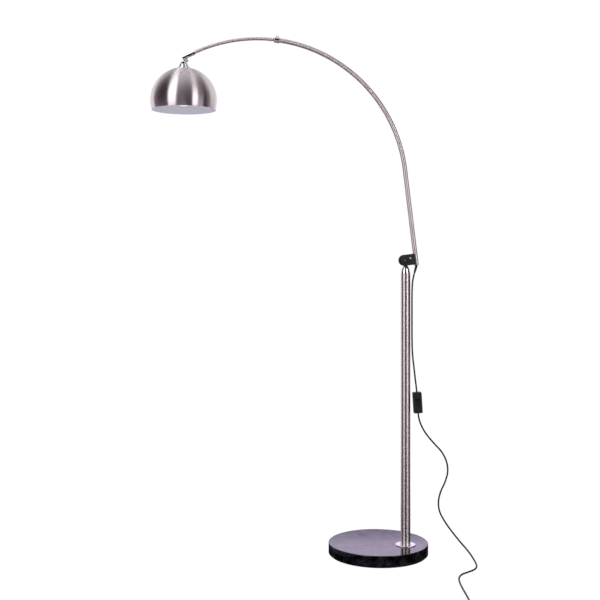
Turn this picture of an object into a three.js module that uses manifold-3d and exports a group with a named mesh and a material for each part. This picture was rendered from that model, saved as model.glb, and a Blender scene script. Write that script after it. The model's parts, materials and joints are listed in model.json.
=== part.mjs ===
// Arc floor lamp: a stone base with a set-off post, a clamped tilting arc arm in two telescoping
// tubes, and a dome shade on a small knuckle. Millimetres, +Z up. The origin is the centre of the
// base's underside, on the floor. The arm reaches towards -X and turns about axes along Y.

import * as THREE from "three";
import { mergeVertices } from "three/addons/utils/BufferGeometryUtils.js";
import Module from "manifold-3d";

const wasm = await Module();
wasm.setup();

// ---------------------------------------------------------------- driving dimensions

const GAP = 0.3; // clearance between pieces that touch
const BORE_CLEARANCE = 0.3; // radial room of a screw in its hole
const BEND_CLEARANCE = 0.6; // radial room of a straight piece on or in a bent tube
const OVER = 1; // how far a cutting piece reaches past the face it cuts
const EDGE = 0.8; // small bevel round a turned rim

const BASE_DIAMETER = 300;
const STONE_THICKNESS = 32.7;
const STONE_EDGE = 2; // chamfer round the stone's rims
const PAD_THICKNESS = 3;
const PAD_INSET = 5; // how far the pad stays in from the stone's edge
const POST_SETOFF = 85.5; // post axis from the centre of the base
const POST_BEARING = THREE.MathUtils.degToRad(-22); // from +X towards -Y
const RECESS_DIAMETER = 46;
const RECESS_DEPTH = 14;
const BASE_BOLT_DIAMETER = 10;

const POST_DIAMETER = 29;
const POST_WALL = 1.2;
const POST_LENGTH = 811;
const LOWER_TUBE_LENGTH = 418;
const FLANGE_DIAMETER = 60;
const FLANGE_THICKNESS = 2;
const INSERT_LENGTH = 30;
const COUPLER_LENGTH = 60;

const NECK_HEIGHT = 23;
const NECK_TOP_DIAMETER = 14;
const NECK_STUD_DIAMETER = 10;
const TONGUE_THICKNESS = 10;
const EYE_RADIUS = 11;

const PIVOT_RISE = 17; // pivot above the top of the neck
const PIVOT_SETOUT = 4; // pivot from the post axis, towards the arm
const PIVOT_BOLT_DIAMETER = 8;
const PLATE_THICKNESS = 3.5;
const PLATE_RADIUS = 16.5;
const PLATE_REACH = 32.6;
const SADDLE_SCREW_DIAMETER = 5;
const KNOB_DIAMETER = 23;
const KNOB_DEPTH = 14;

const ARM_LEAN = THREE.MathUtils.degToRad(6.9); // straight foot of the arm, off the vertical
const TUBE_SETOUT = 34.8; // arm tube axis from the pivot
const TUBE_DROP = 17.3; // arm tube end below the pivot
const STRAIGHT_RISE = 268.4; // start of the bend above the pivot
const ARC_RADIUS = 446;
const OUTER_ARC = THREE.MathUtils.degToRad(76.4);
const OUTER_TUBE_DIAMETER = 14.5;
const OUTER_TUBE_WALL = 1;
const SLIDE_CLEARANCE = 1; // radial room of the inner tube in the outer one
const INNER_TUBE_WALL = 1;
const INNER_VISIBLE = THREE.MathUtils.degToRad(31.4);
const INNER_HELD = THREE.MathUtils.degToRad(36.9); // arc of the inner tube inside the outer one
const COLLAR_LENGTH = 16;
const COLLAR_WALL = 2;
const THUMB_SCREW_DIAMETER = 4;

const SLEEVE_LENGTH = 41;
const SLEEVE_CLEARANCE = 0.7; // radial room of the bent inner tube in the straight sleeve
const SLEEVE_WALL = 1.55;
const SLEEVE_INSERTION = 20;
const KNUCKLE_ALONG = 43.3; // knuckle pivot along the sleeve's axis
const KNUCKLE_BELOW = 16.2; // and square to it
const KNUCKLE_SCREW_DIAMETER = 4;
const LUG_THICKNESS = 6;
const LUG_RADIUS = 5;

const CUP_RADIUS = 14;
const CUP_TOP = 6.5; // above the knuckle pivot
const CUP_BOTTOM = -9.5;
const CAP_RADIUS = 18.5;
const CAP_THICKNESS = 7.7;
const SHADE_RADIUS = 100;
const SHADE_WALL = 0.8;
const SHADE_TOP_RADIUS = 32; // flat land under the cap
const SHADE_RIM_DROP = 27; // rim below the widest level
const VENT_COUNT = 18;
const VENT_DIAMETER = 7;
const VENT_RING_RADIUS = 69;
const NIPPLE_DIAMETER = 10;
const HOLDER_DIAMETER = 38;
const HOLDER_LENGTH = 36;
const BULB_LENGTH = 101;
const BULB_DIAMETER = 60;
const BULB_CAP_DIAMETER = 26;

const CORD_DIAMETER = 5;
const SWITCH_LENGTH = 63;
const SWITCH_WIDTH = 27;
const SWITCH_DEPTH = 20;
const SWITCH_WALL = 1.8;
const SWITCH_CENTRE = [114.3, -38, 463];
const SWITCH_LEAN = THREE.MathUtils.degToRad(-3.5);
const ROCKER_TILT = THREE.MathUtils.degToRad(8);
const COIL_CENTRE = [172, -503];
const COIL_RADIUS = 28; // at the middle of its turns
const COIL_SECTION = 10.4;
const TIE_WIDTH = 6;
const TIE_THICKNESS = 0.8;

// Middle line of the cord from its strain relief to the switch, beside the post.
const CORD_UPPER_ROUTE = [
  [106.3, -32.3, 851], [103, -34, 838], [99.8, -36, 820], [98.2, -37.5, 790],
  [98, -38, 740], [98, -38, 680], [98.6, -38, 628], [100.6, -38, 596], [104.2, -38, 565],
  [108.2, -38, 530], [112.3, -38, 495],
];

// And from the switch down to the floor, then towards the coil.
const CORD_LOWER_ROUTE = [
  [116.3, -38, 431], [122, -38, 404], [137, -38, 374], [161, -38, 344], [187, -38, 315],
  [201.5, -38, 285], [204.5, -38, 255], [196.5, -38, 225], [183.5, -38, 196],
  [177, -38, 166], [181, -38.5, 136], [197, -40, 106], [217.5, -43, 77.5], [240, -50, 50],
  [255, -58, 33.5], [264, -67, 23], [270.5, -80, 14.5], [274.5, -97, 8], [276, -116, 4],
  [274.8, -133, 2.8], [270, -151, 2.8], [259, -171, 2.8], [240, -191, 2.8],
  [219, -213, 2.8], [206, -247, 2.8], [202, -292, 2.8], [202, -340, 3], [203, -390, 3.6],
  [203, -436, 4.8], [202.6, -483.5, 6],
];

// ---------------------------------------------------------------- derived places

const stoneBottom = PAD_THICKNESS + GAP;
const stoneTop = stoneBottom + STONE_THICKNESS;
const postX = POST_SETOFF * Math.cos(POST_BEARING);
const postY = POST_SETOFF * Math.sin(POST_BEARING);
const postBottom = stoneTop + GAP;
const postTop = postBottom + POST_LENGTH;
const postBore = POST_DIAMETER / 2 - POST_WALL;
const seam = postBottom + LOWER_TUBE_LENGTH;
const neckBottom = postTop + GAP;
const neckTop = neckBottom + NECK_HEIGHT;
const pivotHeight = neckTop + PIVOT_RISE;
const outerTube = OUTER_TUBE_DIAMETER / 2;
const outerBore = outerTube - OUTER_TUBE_WALL;
const innerTube = outerBore - SLIDE_CLEARANCE;
const innerBore = innerTube - INNER_TUBE_WALL;
const plateInner = outerTube + GAP;
const plateOuter = plateInner + PLATE_THICKNESS;
const sleeveBore = innerTube + SLEEVE_CLEARANCE;
const sleeveRadius = sleeveBore + SLEEVE_WALL;
const sleeveAngle = OUTER_ARC + INNER_VISIBLE;
const nippleBore = NIPPLE_DIAMETER / 2 + BORE_CLEARANCE;
const cordRadius = CORD_DIAMETER / 2;
const shadeTop = CUP_BOTTOM - GAP - CAP_THICKNESS - GAP;
const shadeCentre = shadeTop - Math.sqrt(SHADE_RADIUS ** 2 - SHADE_TOP_RADIUS ** 2);
const holderTop = shadeTop - SHADE_WALL - GAP;

// ---------------------------------------------------------------- finishes

const stone = { color: 0x0b0b0d, roughness: 0.12, metalness: 0 };
const pad = { color: 0x1a1a1a, roughness: 0.95, metalness: 0 };
const satinNickel = { color: 0xb9b5b2, roughness: 0.34, metalness: 1 };
const chrome = { color: 0xdcdde0, roughness: 0.08, metalness: 1 };
const zinc = { color: 0xa9abad, roughness: 0.4, metalness: 1 };
const blackMetal = { color: 0x151518, roughness: 0.6, metalness: 0 };
const blackPlastic = { color: 0x101012, roughness: 0.45, metalness: 0 };
const blackCord = { color: 0x0c0c0e, roughness: 0.5, metalness: 0 };
const brass = { color: 0xc9a655, roughness: 0.3, metalness: 1 };
const whitePlastic = { color: 0xe9e8e4, roughness: 0.45, metalness: 0 };
const opal = { color: 0xf4f3ee, roughness: 0.35, metalness: 0 };

// ---------------------------------------------------------------- shaping helpers

function toSolid(geometry) {
  const bare = geometry.clone();
  bare.deleteAttribute("normal");
  bare.deleteAttribute("uv");
  const merged = mergeVertices(bare, 1e-4);
  return new wasm.Manifold(
    new wasm.Mesh({
      numProp: 3,
      vertProperties: merged.attributes.position.array,
      triVerts: new Uint32Array(merged.index.array),
    }),
  );
}

function toGeometry(solid) {
  const mesh = solid.getMesh();
  const geometry = new THREE.BufferGeometry();
  geometry.setAttribute("position", new THREE.BufferAttribute(mesh.vertProperties, 3));
  geometry.setIndex(new THREE.BufferAttribute(mesh.triVerts, 1));
  geometry.computeVertexNormals();
  return geometry;
}

function cut(geometry, ...tools) {
  return toGeometry(tools.reduce((solid, tool) => solid.subtract(toSolid(tool)), toSolid(geometry)));
}

function join(geometry, ...others) {
  return toGeometry(others.reduce((solid, other) => solid.add(toSolid(other)), toSolid(geometry)));
}

// A turned piece: [radius, height] points, anticlockwise round the right half of its section.
function turned(profile, sides) {
  const points = profile.map(([radius, height]) => new THREE.Vector2(radius, height));
  return new THREE.LatheGeometry(points, sides).rotateX(Math.PI / 2);
}

function rod(radius, bottom, top, sides = 16) {
  return turned([[0, bottom], [radius, bottom], [radius, top], [0, top]], sides);
}

function pipe(radius, bore, bottom, top, sides = 20) {
  return turned(
    [[bore, bottom], [radius, bottom], [radius, top], [bore, top], [bore, bottom]],
    sides,
  );
}

function hexagon(acrossFlats, bottom, top) {
  return rod(acrossFlats / Math.sqrt(3), bottom, top, 6);
}

// The same solid laid along Y: what pointed up now points to -Y, the front.
function facingFront(geometry) {
  return geometry.rotateX(Math.PI / 2);
}

// A flat piece standing in the XZ plane, between two depths.
function upright(shape, front, back, curveSegments = 6) {
  const options = { depth: back - front, bevelEnabled: false, curveSegments };
  return new THREE.ExtrudeGeometry(shape, options).rotateX(Math.PI / 2).translate(0, back, 0);
}

function slab(x0, x1, y0, y1, z0, z1) {
  const box = new THREE.BoxGeometry(x1 - x0, y1 - y0, z1 - z0);
  return box.translate((x0 + x1) / 2, (y0 + y1) / 2, (z0 + z1) / 2);
}

function roundedRectangle(width, height, radius) {
  const shape = new THREE.Shape();
  const x = width / 2 - radius;
  const y = height / 2 - radius;
  shape.absarc(x, y, radius, 0, Math.PI / 2);
  shape.absarc(-x, y, radius, Math.PI / 2, Math.PI);
  shape.absarc(-x, -y, radius, Math.PI, Math.PI * 1.5);
  shape.absarc(x, -y, radius, Math.PI * 1.5, Math.PI * 2);
  shape.closePath();
  return shape;
}

function sweep(path, radius, bore, sides, steps) {
  const section = new THREE.Shape().absarc(0, 0, radius, 0, Math.PI * 2);
  if (bore) section.holes.push(new THREE.Path().absarc(0, 0, bore, 0, Math.PI * 2, true));
  const options = { steps, extrudePath: path, curveSegments: sides / 2 }; // an arc gets twice as many
  return new THREE.ExtrudeGeometry(section, options);
}

function cordAlong(route, steps) {
  const points = route.map((point) => new THREE.Vector3(...point));
  return sweep(new THREE.CatmullRomCurve3(points), cordRadius, 0, 8, steps);
}

function add(parent, name, geometry, finish) {
  const mesh = new THREE.Mesh(geometry, new THREE.MeshStandardMaterial(finish));
  mesh.name = name;
  parent.add(mesh);
  return mesh;
}

function frameAt(parent, x, y, z) {
  const frame = new THREE.Group();
  frame.position.set(x, y, z);
  parent.add(frame);
  return frame;
}

// ---------------------------------------------------------------- base

function addBase(lamp) {
  const radius = BASE_DIAMETER / 2;
  const boltBore = BASE_BOLT_DIAMETER / 2 + BORE_CLEARANCE;
  const recess = RECESS_DIAMETER / 2;
  const washerMargin = 3;
  const washerThickness = 3;
  const boltFlats = 17;
  const boltHeadHeight = 6.4;
  const boltEndBelowInsert = 4;
  const atPost = (geometry) => geometry.translate(postX, postY, 0);
  const stoneProfile = [
    [0, stoneBottom],
    [radius - STONE_EDGE, stoneBottom],
    [radius, stoneBottom + STONE_EDGE],
    [radius, stoneTop - STONE_EDGE],
    [radius - STONE_EDGE, stoneTop],
    [0, stoneTop],
  ];
  const stoneDisc = cut(
    turned(stoneProfile, 48),
    atPost(rod(recess, stoneBottom - OVER, stoneBottom + RECESS_DEPTH, 20)),
    atPost(rod(boltBore, 0, stoneTop + OVER)),
  );
  const padDisc = cut(
    rod(radius - PAD_INSET, 0, PAD_THICKNESS, 48),
    atPost(rod(recess, -OVER, PAD_THICKNESS + OVER, 20)),
  );
  add(lamp, "base_disc", stoneDisc, stone);
  add(lamp, "base_pad", padDisc, pad);

  const column = frameAt(lamp, postX, postY, 0);
  const washerTop = stoneBottom + RECESS_DEPTH - GAP;
  const washerBottom = washerTop - washerThickness;
  const headTop = washerBottom - GAP;
  const boltTop = postBottom + INSERT_LENGTH - boltEndBelowInsert;
  const bolt = join(
    hexagon(boltFlats, headTop - boltHeadHeight, headTop),
    rod(BASE_BOLT_DIAMETER / 2, headTop - OVER, boltTop),
  );
  add(column, "base_washer", pipe(recess - washerMargin, boltBore, washerBottom, washerTop), zinc);
  add(column, "base_bolt", bolt, zinc);
}

// ---------------------------------------------------------------- post

function addPost(lamp) {
  const column = frameAt(lamp, postX, postY, 0);
  const radius = POST_DIAMETER / 2;
  const insert = postBore - GAP;
  const boltBore = BASE_BOLT_DIAMETER / 2 + BORE_CLEARANCE;
  const studBore = NECK_STUD_DIAMETER / 2 + BORE_CLEARANCE;
  const flangeTop = postBottom + FLANGE_THICKNESS;
  const flangeEdge = 0.7;
  const couplerWall = 3;
  const flangeProfile = [
    [radius + GAP, postBottom],
    [FLANGE_DIAMETER / 2, postBottom],
    [FLANGE_DIAMETER / 2, flangeTop - flangeEdge],
    [FLANGE_DIAMETER / 2 - flangeEdge, flangeTop],
    [radius + GAP, flangeTop],
    [radius + GAP, postBottom],
  ];
  add(column, "post_flange", turned(flangeProfile, 28), chrome);
  add(column, "post_foot_insert", pipe(insert, boltBore, postBottom, postBottom + INSERT_LENGTH), zinc);
  add(column, "post_lower_tube", pipe(radius, postBore, postBottom, seam - GAP / 2), satinNickel);
  add(column, "post_coupler",
    pipe(insert, insert - couplerWall, seam - COUPLER_LENGTH / 2, seam + COUPLER_LENGTH / 2), zinc);
  add(column, "post_upper_tube", pipe(radius, postBore, seam + GAP / 2, postTop), satinNickel);
  add(column, "post_top_insert", pipe(insert, studBore, postTop - INSERT_LENGTH, postTop), zinc);
}

// ---------------------------------------------------------------- neck and tongue

function addNeck(lamp) {
  const column = frameAt(lamp, postX, postY, 0);
  const foot = POST_DIAMETER / 2;
  const top = NECK_TOP_DIAMETER / 2;
  const skirt = 1.2; // straight part of the cone's foot
  const studLength = INSERT_LENGTH - 6;
  const stubRadius = top - 3.2;
  const stubLength = 12;
  const grubRadius = 2.5;
  const grubLength = 5.2;
  const grubTip = foot - 6.6; // from the post axis
  const grubSocketFlats = 2.5;
  const grubSocketDepth = 2.1;
  const grubHeight = neckBottom + 5;
  const grubAngle = THREE.MathUtils.degToRad(-55);
  const coneProfile = [
    [0, neckBottom - studLength],
    [NECK_STUD_DIAMETER / 2, neckBottom - studLength],
    [NECK_STUD_DIAMETER / 2, neckBottom],
    [foot, neckBottom],
    [foot, neckBottom + skirt],
    [foot - 1.7, neckBottom + 0.48 * NECK_HEIGHT],
    [foot - 4, neckBottom + 0.8 * NECK_HEIGHT],
    [top, neckTop],
    [0, neckTop],
  ];
  const radial = (geometry) =>
    geometry.rotateY(Math.PI / 2).rotateZ(grubAngle).translate(0, 0, grubHeight);
  const cone = cut(
    turned(coneProfile, 20),
    rod(stubRadius + BORE_CLEARANCE, neckTop - stubLength - GAP, neckTop + OVER),
    radial(rod(grubRadius + BORE_CLEARANCE, grubTip - GAP, foot + OVER, 12)),
  );
  add(column, "neck_cone", cone, chrome);

  const grubFace = grubTip + grubLength;
  const grub = cut(
    rod(grubRadius, grubTip, grubFace, 12),
    hexagon(grubSocketFlats, grubFace - grubSocketDepth, grubFace + OVER),
  );
  add(column, "neck_grub_screw", radial(grub), zinc);

  const stem = 5.8;
  const eyeX = -PIVOT_SETOUT;
  const outline = new THREE.Shape();
  outline.moveTo(-stem, neckTop + GAP);
  outline.lineTo(stem, neckTop + GAP);
  outline.lineTo(eyeX + EYE_RADIUS, pivotHeight);
  outline.absarc(eyeX, pivotHeight, EYE_RADIUS, 0, Math.PI);
  outline.closePath();
  const pivotBore = PIVOT_BOLT_DIAMETER / 2 + BORE_CLEARANCE;
  const half = TONGUE_THICKNESS / 2;
  const eyeHole = facingFront(rod(pivotBore, -half - OVER, half + OVER));
  eyeHole.translate(eyeX, 0, pivotHeight);
  const tongue = cut(
    join(upright(outline, -half, half), rod(stubRadius, neckTop - stubLength, neckTop + GAP + OVER)),
    eyeHole,
  );
  add(column, "hinge_tongue", tongue, blackMetal);
}

// ---------------------------------------------------------------- tilting bracket

function addBracket(arm) {
  const pivotBore = PIVOT_BOLT_DIAMETER / 2 + BORE_CLEARANCE;
  const screwBore = SADDLE_SCREW_DIAMETER / 2 + BORE_CLEARANCE;
  const screwX = 18.1;
  const screwZ = 3.3;
  const corner = 2.5;
  const saddleBottom = -9;
  const saddleTop = PLATE_RADIUS - 2.5;
  const saddleEdge = EYE_RADIUS + 2.8;
  const outline = new THREE.Shape();
  outline.absarc(0, 0, PLATE_RADIUS, Math.PI / 2, Math.PI * 1.5);
  outline.absarc(PLATE_REACH - corner, corner - PLATE_RADIUS, corner, -Math.PI / 2, 0);
  outline.absarc(PLATE_REACH - corner, PLATE_RADIUS - corner, corner, 0, Math.PI / 2);
  outline.closePath();
  const across = (radius, reach, sides) => facingFront(rod(radius, -reach, reach, sides));
  const reach = plateOuter + OVER;
  const plate = (front, back) =>
    cut(
      upright(outline, front, back),
      across(pivotBore, reach),
      across(screwBore, reach, 12).translate(screwX, 0, screwZ),
    );
  add(arm, "bracket_front_plate", plate(-plateOuter, -plateInner), blackMetal);
  add(arm, "bracket_rear_plate", plate(plateInner, plateOuter), blackMetal);

  const saddleHalf = plateInner - GAP;
  const saddle = cut(
    slab(saddleEdge, TUBE_SETOUT, -saddleHalf, saddleHalf, saddleBottom, saddleTop),
    rod(outerTube + GAP, -PLATE_RADIUS, PLATE_RADIUS, 24).translate(TUBE_SETOUT, 0, 0),
    across(screwBore, reach, 12).translate(screwX, 0, screwZ),
  );
  add(arm, "bracket_saddle", saddle, blackMetal);

  const washerInner = TONGUE_THICKNESS / 2 + GAP;
  const washerOuter = plateInner - GAP;
  const washer = () => facingFront(pipe(EYE_RADIUS, pivotBore, washerInner, washerOuter));
  add(arm, "friction_washer_front", washer(), pad);
  add(arm, "friction_washer_rear", washer().rotateZ(Math.PI), pad);

  const screwHead = plateOuter + GAP;
  const headRadius = 3.6;
  const nutFlats = 8;
  const nutHeight = 4;
  const headProfile = [
    [0, screwHead],
    [headRadius, screwHead],
    [headRadius, screwHead + EDGE],
    [headRadius - 1.4, screwHead + 2.2],
    [0, screwHead + 2.4],
  ];
  const saddleScrew = join(
    turned(headProfile, 16),
    rod(SADDLE_SCREW_DIAMETER / 2, -plateOuter - nutHeight - OVER, screwHead + EDGE / 2, 12),
  );
  add(arm, "saddle_screw", facingFront(saddleScrew).translate(screwX, 0, screwZ), chrome);
  const saddleNut = cut(
    hexagon(nutFlats, -screwHead - nutHeight, -screwHead),
    rod(screwBore, -screwHead - nutHeight - OVER, 0, 12),
  );
  add(arm, "saddle_nut", facingFront(saddleNut).translate(screwX, 0, screwZ), zinc);

  const washerRadius = 8.5;
  const washerThickness = 1.2;
  const boltFlats = 13;
  const boltHeadHeight = 5.3;
  const nose = PIVOT_BOLT_DIAMETER / 4; // thin end of the bolt, seen in the middle of the knob
  const noseLength = 4.8;
  const outwards = plateOuter + GAP;
  const knobBack = outwards + washerThickness + GAP;
  const knobFront = knobBack + KNOB_DEPTH;
  const boltShoulder = knobFront + EDGE - noseLength;
  add(arm, "knob_washer",
    facingFront(pipe(washerRadius, pivotBore, outwards, outwards + washerThickness)), zinc);
  const pivotBolt = join(
    hexagon(boltFlats, -outwards - boltHeadHeight, -outwards),
    rod(PIVOT_BOLT_DIAMETER / 2, -outwards - OVER, boltShoulder),
    rod(nose, boltShoulder - OVER, knobFront + EDGE, 12),
  );
  add(arm, "pivot_bolt", facingFront(pivotBolt), zinc);

  const lobes = 6;
  const lobeSteps = 6;
  const lobeDepth = 1.7;
  const bevel = 1.5;
  const knobOutline = new THREE.Shape();
  for (let i = 0; i < lobes * lobeSteps; i++) {
    const angle = (i / (lobes * lobeSteps)) * Math.PI * 2;
    const radius = KNOB_DIAMETER / 2 - (lobeDepth * (1 - Math.cos(lobes * angle))) / 2;
    const point = [radius * Math.sin(angle), radius * Math.cos(angle)];
    if (i) knobOutline.lineTo(...point);
    else knobOutline.moveTo(...point);
  }
  const knob = cut(
    new THREE.ExtrudeGeometry(knobOutline, {
      depth: KNOB_DEPTH - 2 * bevel,
      bevelThickness: bevel,
      bevelSize: bevel,
      bevelOffset: -bevel,
      bevelSegments: 1,
    }).translate(0, 0, knobBack + bevel),
    rod(pivotBore, knobBack - OVER, boltShoulder + GAP),
    rod(nose + BORE_CLEARANCE, knobBack, knobFront + OVER, 12),
  );
  add(arm, "tilt_knob", facingFront(knob), blackPlastic);
}

// ---------------------------------------------------------------- arc arm

// The arm's middle line: straight up the foot, then round the arc towards -X.
class ArmLine extends THREE.Curve {
  constructor(straight, fromAngle, toAngle) {
    super();
    this.straight = straight;
    this.fromAngle = fromAngle;
    this.length = straight + (toAngle - fromAngle) * ARC_RADIUS;
  }
  getPoint(t) {
    const along = t * this.length - this.straight;
    if (along < 0) return new THREE.Vector3(TUBE_SETOUT, 0, STRAIGHT_RISE + along);
    return arcPoint(this.fromAngle + along / ARC_RADIUS);
  }
}

function arcPoint(angle, radius = ARC_RADIUS) {
  const x = TUBE_SETOUT - ARC_RADIUS + radius * Math.cos(angle);
  return new THREE.Vector3(x, 0, STRAIGHT_RISE + radius * Math.sin(angle));
}

// Puts a piece made round the Z axis onto the arc, its axis along the tube.
function onArc(geometry, angle) {
  const place = arcPoint(angle);
  return geometry.rotateY(-angle).translate(place.x, 0, place.z);
}

// And one whose axis stands square on the outside of the arc.
function squareToArc(geometry, angle) {
  const place = arcPoint(angle);
  return geometry.rotateY(Math.PI / 2 - angle).translate(place.x, 0, place.z);
}

function addOuterArm(arm) {
  const halfCollar = COLLAR_LENGTH / 2;
  const collarBore = outerTube + BEND_CLEARANCE;
  const collarRadius = collarBore + COLLAR_WALL;
  const screwAngle = OUTER_ARC - halfCollar / ARC_RADIUS;
  const screwRadius = THUMB_SCREW_DIAMETER / 2;
  const screwHole = () =>
    squareToArc(rod(screwRadius + BORE_CLEARANCE, innerTube, collarRadius + OVER, 12), screwAngle);
  const line = new ArmLine(STRAIGHT_RISE + TUBE_DROP, 0, OUTER_ARC);
  const tube = cut(sweep(line, outerTube, outerBore, 10, 30), screwHole());
  add(arm, "outer_arm_tube", tube, satinNickel);

  const collarProfile = [
    [collarBore, -halfCollar],
    [collarRadius - EDGE, -halfCollar],
    [collarRadius, EDGE - halfCollar],
    [collarRadius, halfCollar - EDGE],
    [collarRadius - EDGE, halfCollar],
    [collarBore, halfCollar],
    [collarBore, -halfCollar],
  ];
  const collar = cut(onArc(turned(collarProfile, 16), screwAngle), screwHole());
  add(arm, "clamp_collar", collar, chrome);

  const headBottom = collarRadius + GAP;
  const headTop = headBottom + 6.4;
  const headRadius = 4.5;
  const headProfile = [
    [0, headBottom],
    [headRadius - EDGE, headBottom],
    [headRadius, headBottom + EDGE],
    [headRadius, headTop - EDGE],
    [headRadius - EDGE, headTop],
    [0, headTop],
  ];
  const thumbScrew = join(
    rod(screwRadius, innerTube + GAP, headBottom + OVER, 12),
    turned(headProfile, 18),
  );
  add(arm, "thumb_screw", squareToArc(thumbScrew, screwAngle), chrome);
  const cableRise = STRAIGHT_RISE - 20; // the loose cable ends short of the bend
  const cable = rod(cordRadius, GAP - TUBE_DROP, cableRise, 8).translate(TUBE_SETOUT, 0, 0);
  add(arm, "cable_in_outer_arm", cable, blackCord);
}

// The plug in the foot of the arm tube, and the tapered relief that turns the cord to the post.
function addGland(arm, lamp) {
  const plugTop = -TUBE_DROP - GAP;
  const plugBottom = plugTop - 1.6;
  const plugProfile = [
    [0, plugBottom],
    [outerTube - EDGE, plugBottom],
    [outerTube, plugBottom + EDGE],
    [outerTube, plugTop],
    [0, plugTop],
  ];
  add(arm, "cord_gland", turned(plugProfile, 24).translate(TUBE_SETOUT, 0, 0), blackPlastic);

  lamp.updateMatrixWorld(true);
  const root = arm.localToWorld(new THREE.Vector3(TUBE_SETOUT, 0, plugBottom - GAP));
  const tip = new THREE.Vector3(...CORD_UPPER_ROUTE[0]);
  const along = new THREE.Vector3().subVectors(tip, root).normalize();
  const foot = 1.5; // lets the leaning relief clear the flat of the plug
  const end = root.distanceTo(tip) - GAP;
  const footRadius = cordRadius + 1.7;
  const endRadius = cordRadius + 0.5;
  const relief = turned([[0, foot], [footRadius, foot], [endRadius, end], [0, end]], 16);
  const turn = new THREE.Quaternion().setFromUnitVectors(new THREE.Vector3(0, 0, 1), along);
  relief.applyQuaternion(turn).translate(root.x, root.y, root.z);
  add(lamp, "cord_relief", relief, blackCord);
}

function addInnerArm(arm) {
  const start = OUTER_ARC - INNER_HELD;
  const end = sleeveAngle + SLEEVE_INSERTION / ARC_RADIUS;
  add(arm, "inner_arm_tube",
    sweep(new ArmLine(0, start, end), innerTube, innerBore, 10, 22), satinNickel);

  const bushRadius = innerTube + GAP;
  const bushFoot = -8;
  const spigotLength = 6;
  const cableBore = cordRadius + 0.5;
  const bushProfile = [
    [cableBore, bushFoot],
    [bushRadius - EDGE, bushFoot],
    [bushRadius, bushFoot + EDGE],
    [bushRadius, -GAP],
    [innerBore - BEND_CLEARANCE, -GAP],
    [innerBore - BEND_CLEARANCE, spigotLength],
    [cableBore, spigotLength],
    [cableBore, bushFoot],
  ];
  add(arm, "guide_bush", onArc(turned(bushProfile, 16), start), blackPlastic);
  const cableStart = start + (spigotLength + 3) / ARC_RADIUS;
  const cableEnd = end + 4.5 / ARC_RADIUS;
  add(arm, "cable_in_inner_arm",
    sweep(new ArmLine(0, cableStart, cableEnd), cordRadius, 0, 8, 12), blackCord);
}

// The straight sleeve on the end of the arm, with the lug that the lamp head hangs from.
function addSleeve(arm) {
  const sleeve = new THREE.Group();
  const start = arcPoint(sleeveAngle);
  sleeve.position.copy(start);
  sleeve.rotation.y = -sleeveAngle;
  arm.add(sleeve);
  const grub = 2;
  const grubAlong = 8;
  const endWall = 4;
  const endBevel = 1.5;
  const side = (geometry) => facingFront(geometry).translate(0, 0, grubAlong);
  const profile = [
    [sleeveBore, 0],
    [sleeveRadius - EDGE, 0],
    [sleeveRadius, EDGE],
    [sleeveRadius, SLEEVE_LENGTH - endBevel],
    [sleeveRadius - endBevel, SLEEVE_LENGTH],
    [0, SLEEVE_LENGTH],
    [0, SLEEVE_LENGTH - endWall],
    [sleeveBore, SLEEVE_LENGTH - endWall],
    [sleeveBore, 0],
  ];
  const body = cut(
    turned(profile, 24),
    side(rod(grub + BORE_CLEARANCE, sleeveBore - OVER, sleeveRadius + OVER, 12)),
  );
  add(sleeve, "head_sleeve", body, chrome);
  add(sleeve, "sleeve_grub_screw", side(rod(grub, innerTube + GAP, sleeveRadius, 12)), zinc);

  const screwBore = KNUCKLE_SCREW_DIAMETER / 2 + BORE_CLEARANCE;
  const half = LUG_THICKNESS / 2;
  const rootStart = SLEEVE_LENGTH - 13;
  const rootEnd = SLEEVE_LENGTH - 2;
  const outline = new THREE.Shape();
  outline.moveTo(-KNUCKLE_BELOW, rootStart);
  outline.lineTo(0, rootStart);
  outline.lineTo(0, rootEnd);
  outline.lineTo(-sleeveRadius, rootEnd);
  outline.lineTo(-KNUCKLE_BELOW + 2, KNUCKLE_ALONG + LUG_RADIUS - 0.5);
  outline.absarc(-KNUCKLE_BELOW, KNUCKLE_ALONG, LUG_RADIUS, Math.PI * 0.35, Math.PI * 1.25);
  outline.closePath();
  const eye = facingFront(rod(screwBore, -half - OVER, half + OVER, 12));
  const lug = cut(
    upright(outline, -half, half, 8),
    rod(sleeveRadius + GAP, 0, SLEEVE_LENGTH + OVER, 24),
    eye.translate(-KNUCKLE_BELOW, 0, KNUCKLE_ALONG),
  );
  add(sleeve, "knuckle_lug", lug, chrome);
  const pivot = new THREE.Vector3(-KNUCKLE_BELOW, 0, KNUCKLE_ALONG);
  arm.parent.updateMatrixWorld(true);
  return sleeve.localToWorld(pivot);
}

// ---------------------------------------------------------------- lamp head

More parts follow.
